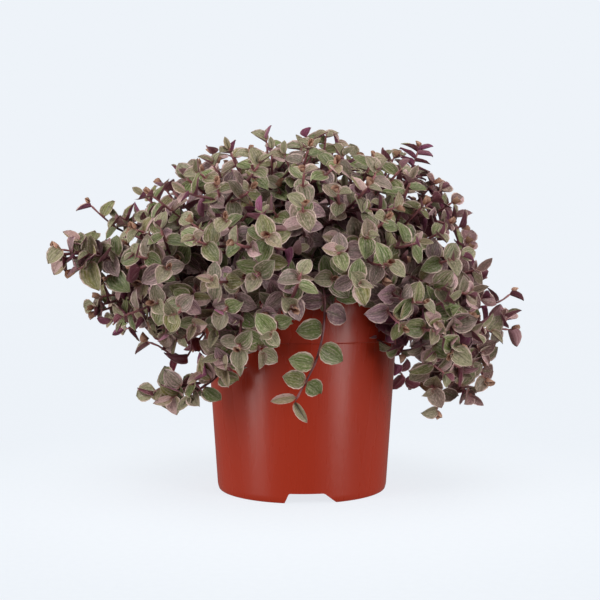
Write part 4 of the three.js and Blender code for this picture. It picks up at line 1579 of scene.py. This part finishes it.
class VINE_OT_mound_stems(bpy.types.Operator):
    """Grow the stems of the mound, with the side shoots that fill it"""

    bl_idname = "vine.mound_stems"
    bl_label = "Mound stems"

    def execute(self, context):
        stems = plan_mound()
        fill_mound(stems)
        place_plants(context, stems, TURN)
        return {"FINISHED"}


# The faint shadow on the floor: where it fades out, how much of the paper takes light, and how much
# light falls there
SHADOW = {"near": 0.07, "far": 0.3, "share": 0.22, "light": 0.64}
# Softboxes: the property that holds their power, where they stand, what they face, their size, and
# whether shiny surfaces mirror them
LIGHTS = {
    "left softbox": ("left_power", (-0.962, -0.623, 0.27), (0, 0, 0.1), (0.42, 1.12), True),
    "right softbox": ("right_power", (0.876, -0.8, 0.27), (0, 0, 0.1), (0.42, 1.12), True),
    "top softbox": ("top_power", (0, -0.35, 1.1), (0, 0, 0.12), (0.9, 0.9), True),
    "left fill": ("fill_power", (-0.95, 0.22, 0.1), (0, 0, 0.08), (0.5, 0.7), False),
    "right fill": ("fill_power", (0.95, 0.22, 0.1), (0, 0, 0.08), (0.5, 0.7), False),
}
# How far left of the pot's axis and below its own height the camera aims, in metres
AIM = {"left": 0.0012, "below": 0.00403}
FLOOR = {"size": 12, "steps": 8}


def soft_light(look, name, power, place, target, size, mirrored):
    data = bpy.data.lights.new(name, "AREA")
    data.shape = "RECTANGLE"
    data.size, data.size_y = size
    data.energy = getattr(look, power)
    data.color = look.light_colour
    lamp = bpy.data.objects.new(name, data)
    bpy.context.scene.collection.objects.link(lamp)
    lamp.location = place
    lamp.rotation_euler = (Vector(target) - lamp.location).to_track_quat("-Z", "Y").to_euler()
    lamp.visible_camera = False
    lamp.visible_glossy = mirrored


def soft_surround(look):
    """Light from all round, weaker and warmer than the pale backdrop that stands behind the object."""
    world = bpy.data.worlds.new("soft surround")
    world.use_nodes = True
    tree = world.node_tree
    light = tree.nodes["Background"]
    light.inputs["Color"].default_value = (*look.surround_colour, 1)
    ray = tree.nodes.new("ShaderNodeLightPath")
    strength = tree.nodes.new("ShaderNodeMath")
    strength.operation = "MULTIPLY_ADD"
    tree.links.new(ray.outputs["Is Glossy Ray"], strength.inputs[0])
    strength.inputs[1].default_value = look.surround * (look.mirrored - 1)
    strength.inputs[2].default_value = look.surround
    tree.links.new(strength.outputs[0], light.inputs["Strength"])
    backdrop = tree.nodes.new("ShaderNodeBackground")
    backdrop.inputs["Color"].default_value = (*look.backdrop, 1)
    either = tree.nodes.new("ShaderNodeMixShader")
    tree.links.new(ray.outputs["Is Camera Ray"], either.inputs[0])
    tree.links.new(light.outputs[0], either.inputs[1])
    tree.links.new(backdrop.outputs[0], either.inputs[2])
    tree.links.new(either.outputs[0], tree.nodes["World Output"].inputs["Surface"])
    return world


class VINE_OT_stage(bpy.types.Operator):
    """Set up the pale floor, the soft lights and the camera"""

    bl_idname = "vine.stage"
    bl_label = "Stage"

    def execute(self, context):
        look = context.scene.vine_stage
        scene = context.scene
        bm = bmesh.new()
        bmesh.ops.create_grid(bm, x_segments=FLOOR["steps"], y_segments=FLOOR["steps"], size=FLOOR["size"])
        floor = loose_object("studio_floor", bm)
        floor.data.materials.append(floor_paper(look))
        floor.visible_diffuse = False
        floor.visible_glossy = False
        floor.visible_shadow = False
        scene.world = soft_surround(look)
        for name, light in LIGHTS.items():
            soft_light(look, name, *light)
        eye = bpy.data.cameras.new("camera")
        eye.lens = look.lens
        camera = bpy.data.objects.new("camera", eye)
        scene.collection.objects.link(camera)
        camera.location = (0, -look.distance, look.eye)
        aim = Vector((-AIM["left"], 0, look.eye - AIM["below"])) - camera.location
        camera.rotation_euler = aim.to_track_quat("-Z", "Y").to_euler()
        scene.camera = camera
        scene.view_settings.view_transform = "Standard"
        return {"FINISHED"}


class VINE_PT_panel(bpy.types.Panel):
    """Buttons for the steps that make the potted vine"""

    bl_label = "Potted turtle vine"
    bl_idname = "VINE_PT_panel"
    bl_space_type = "VIEW_3D"
    bl_region_type = "UI"
    bl_category = "Turtle Vine"

    def draw(self, context):
        for operator in OPERATORS:
            self.layout.operator(operator.bl_idname)


LOOKS = {"vine_pot": VinePotLook, "vine_foliage": VineFoliageLook, "vine_stage": VineStageLook}
OPERATORS = (
    VINE_OT_pot, VINE_OT_peat, VINE_OT_trailing_stems, VINE_OT_mound_stems, VINE_OT_stage,
)
CLASSES = (*LOOKS.values(), *OPERATORS, VINE_PT_panel)


def register():
    for made in CLASSES:
        bpy.utils.register_class(made)
    for name, look in LOOKS.items():
        setattr(bpy.types.Scene, name, PointerProperty(type=look))


def unregister():
    for name in LOOKS:
        delattr(bpy.types.Scene, name)
    for made in reversed(CLASSES):
        bpy.utils.unregister_class(made)


def main():
    register()
    bpy.ops.vine.pot()
    bpy.ops.vine.peat()
    bpy.ops.vine.trailing_stems()
    bpy.ops.vine.mound_stems()
    bpy.ops.vine.stage()
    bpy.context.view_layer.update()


if __name__ == "__main__":
    main()
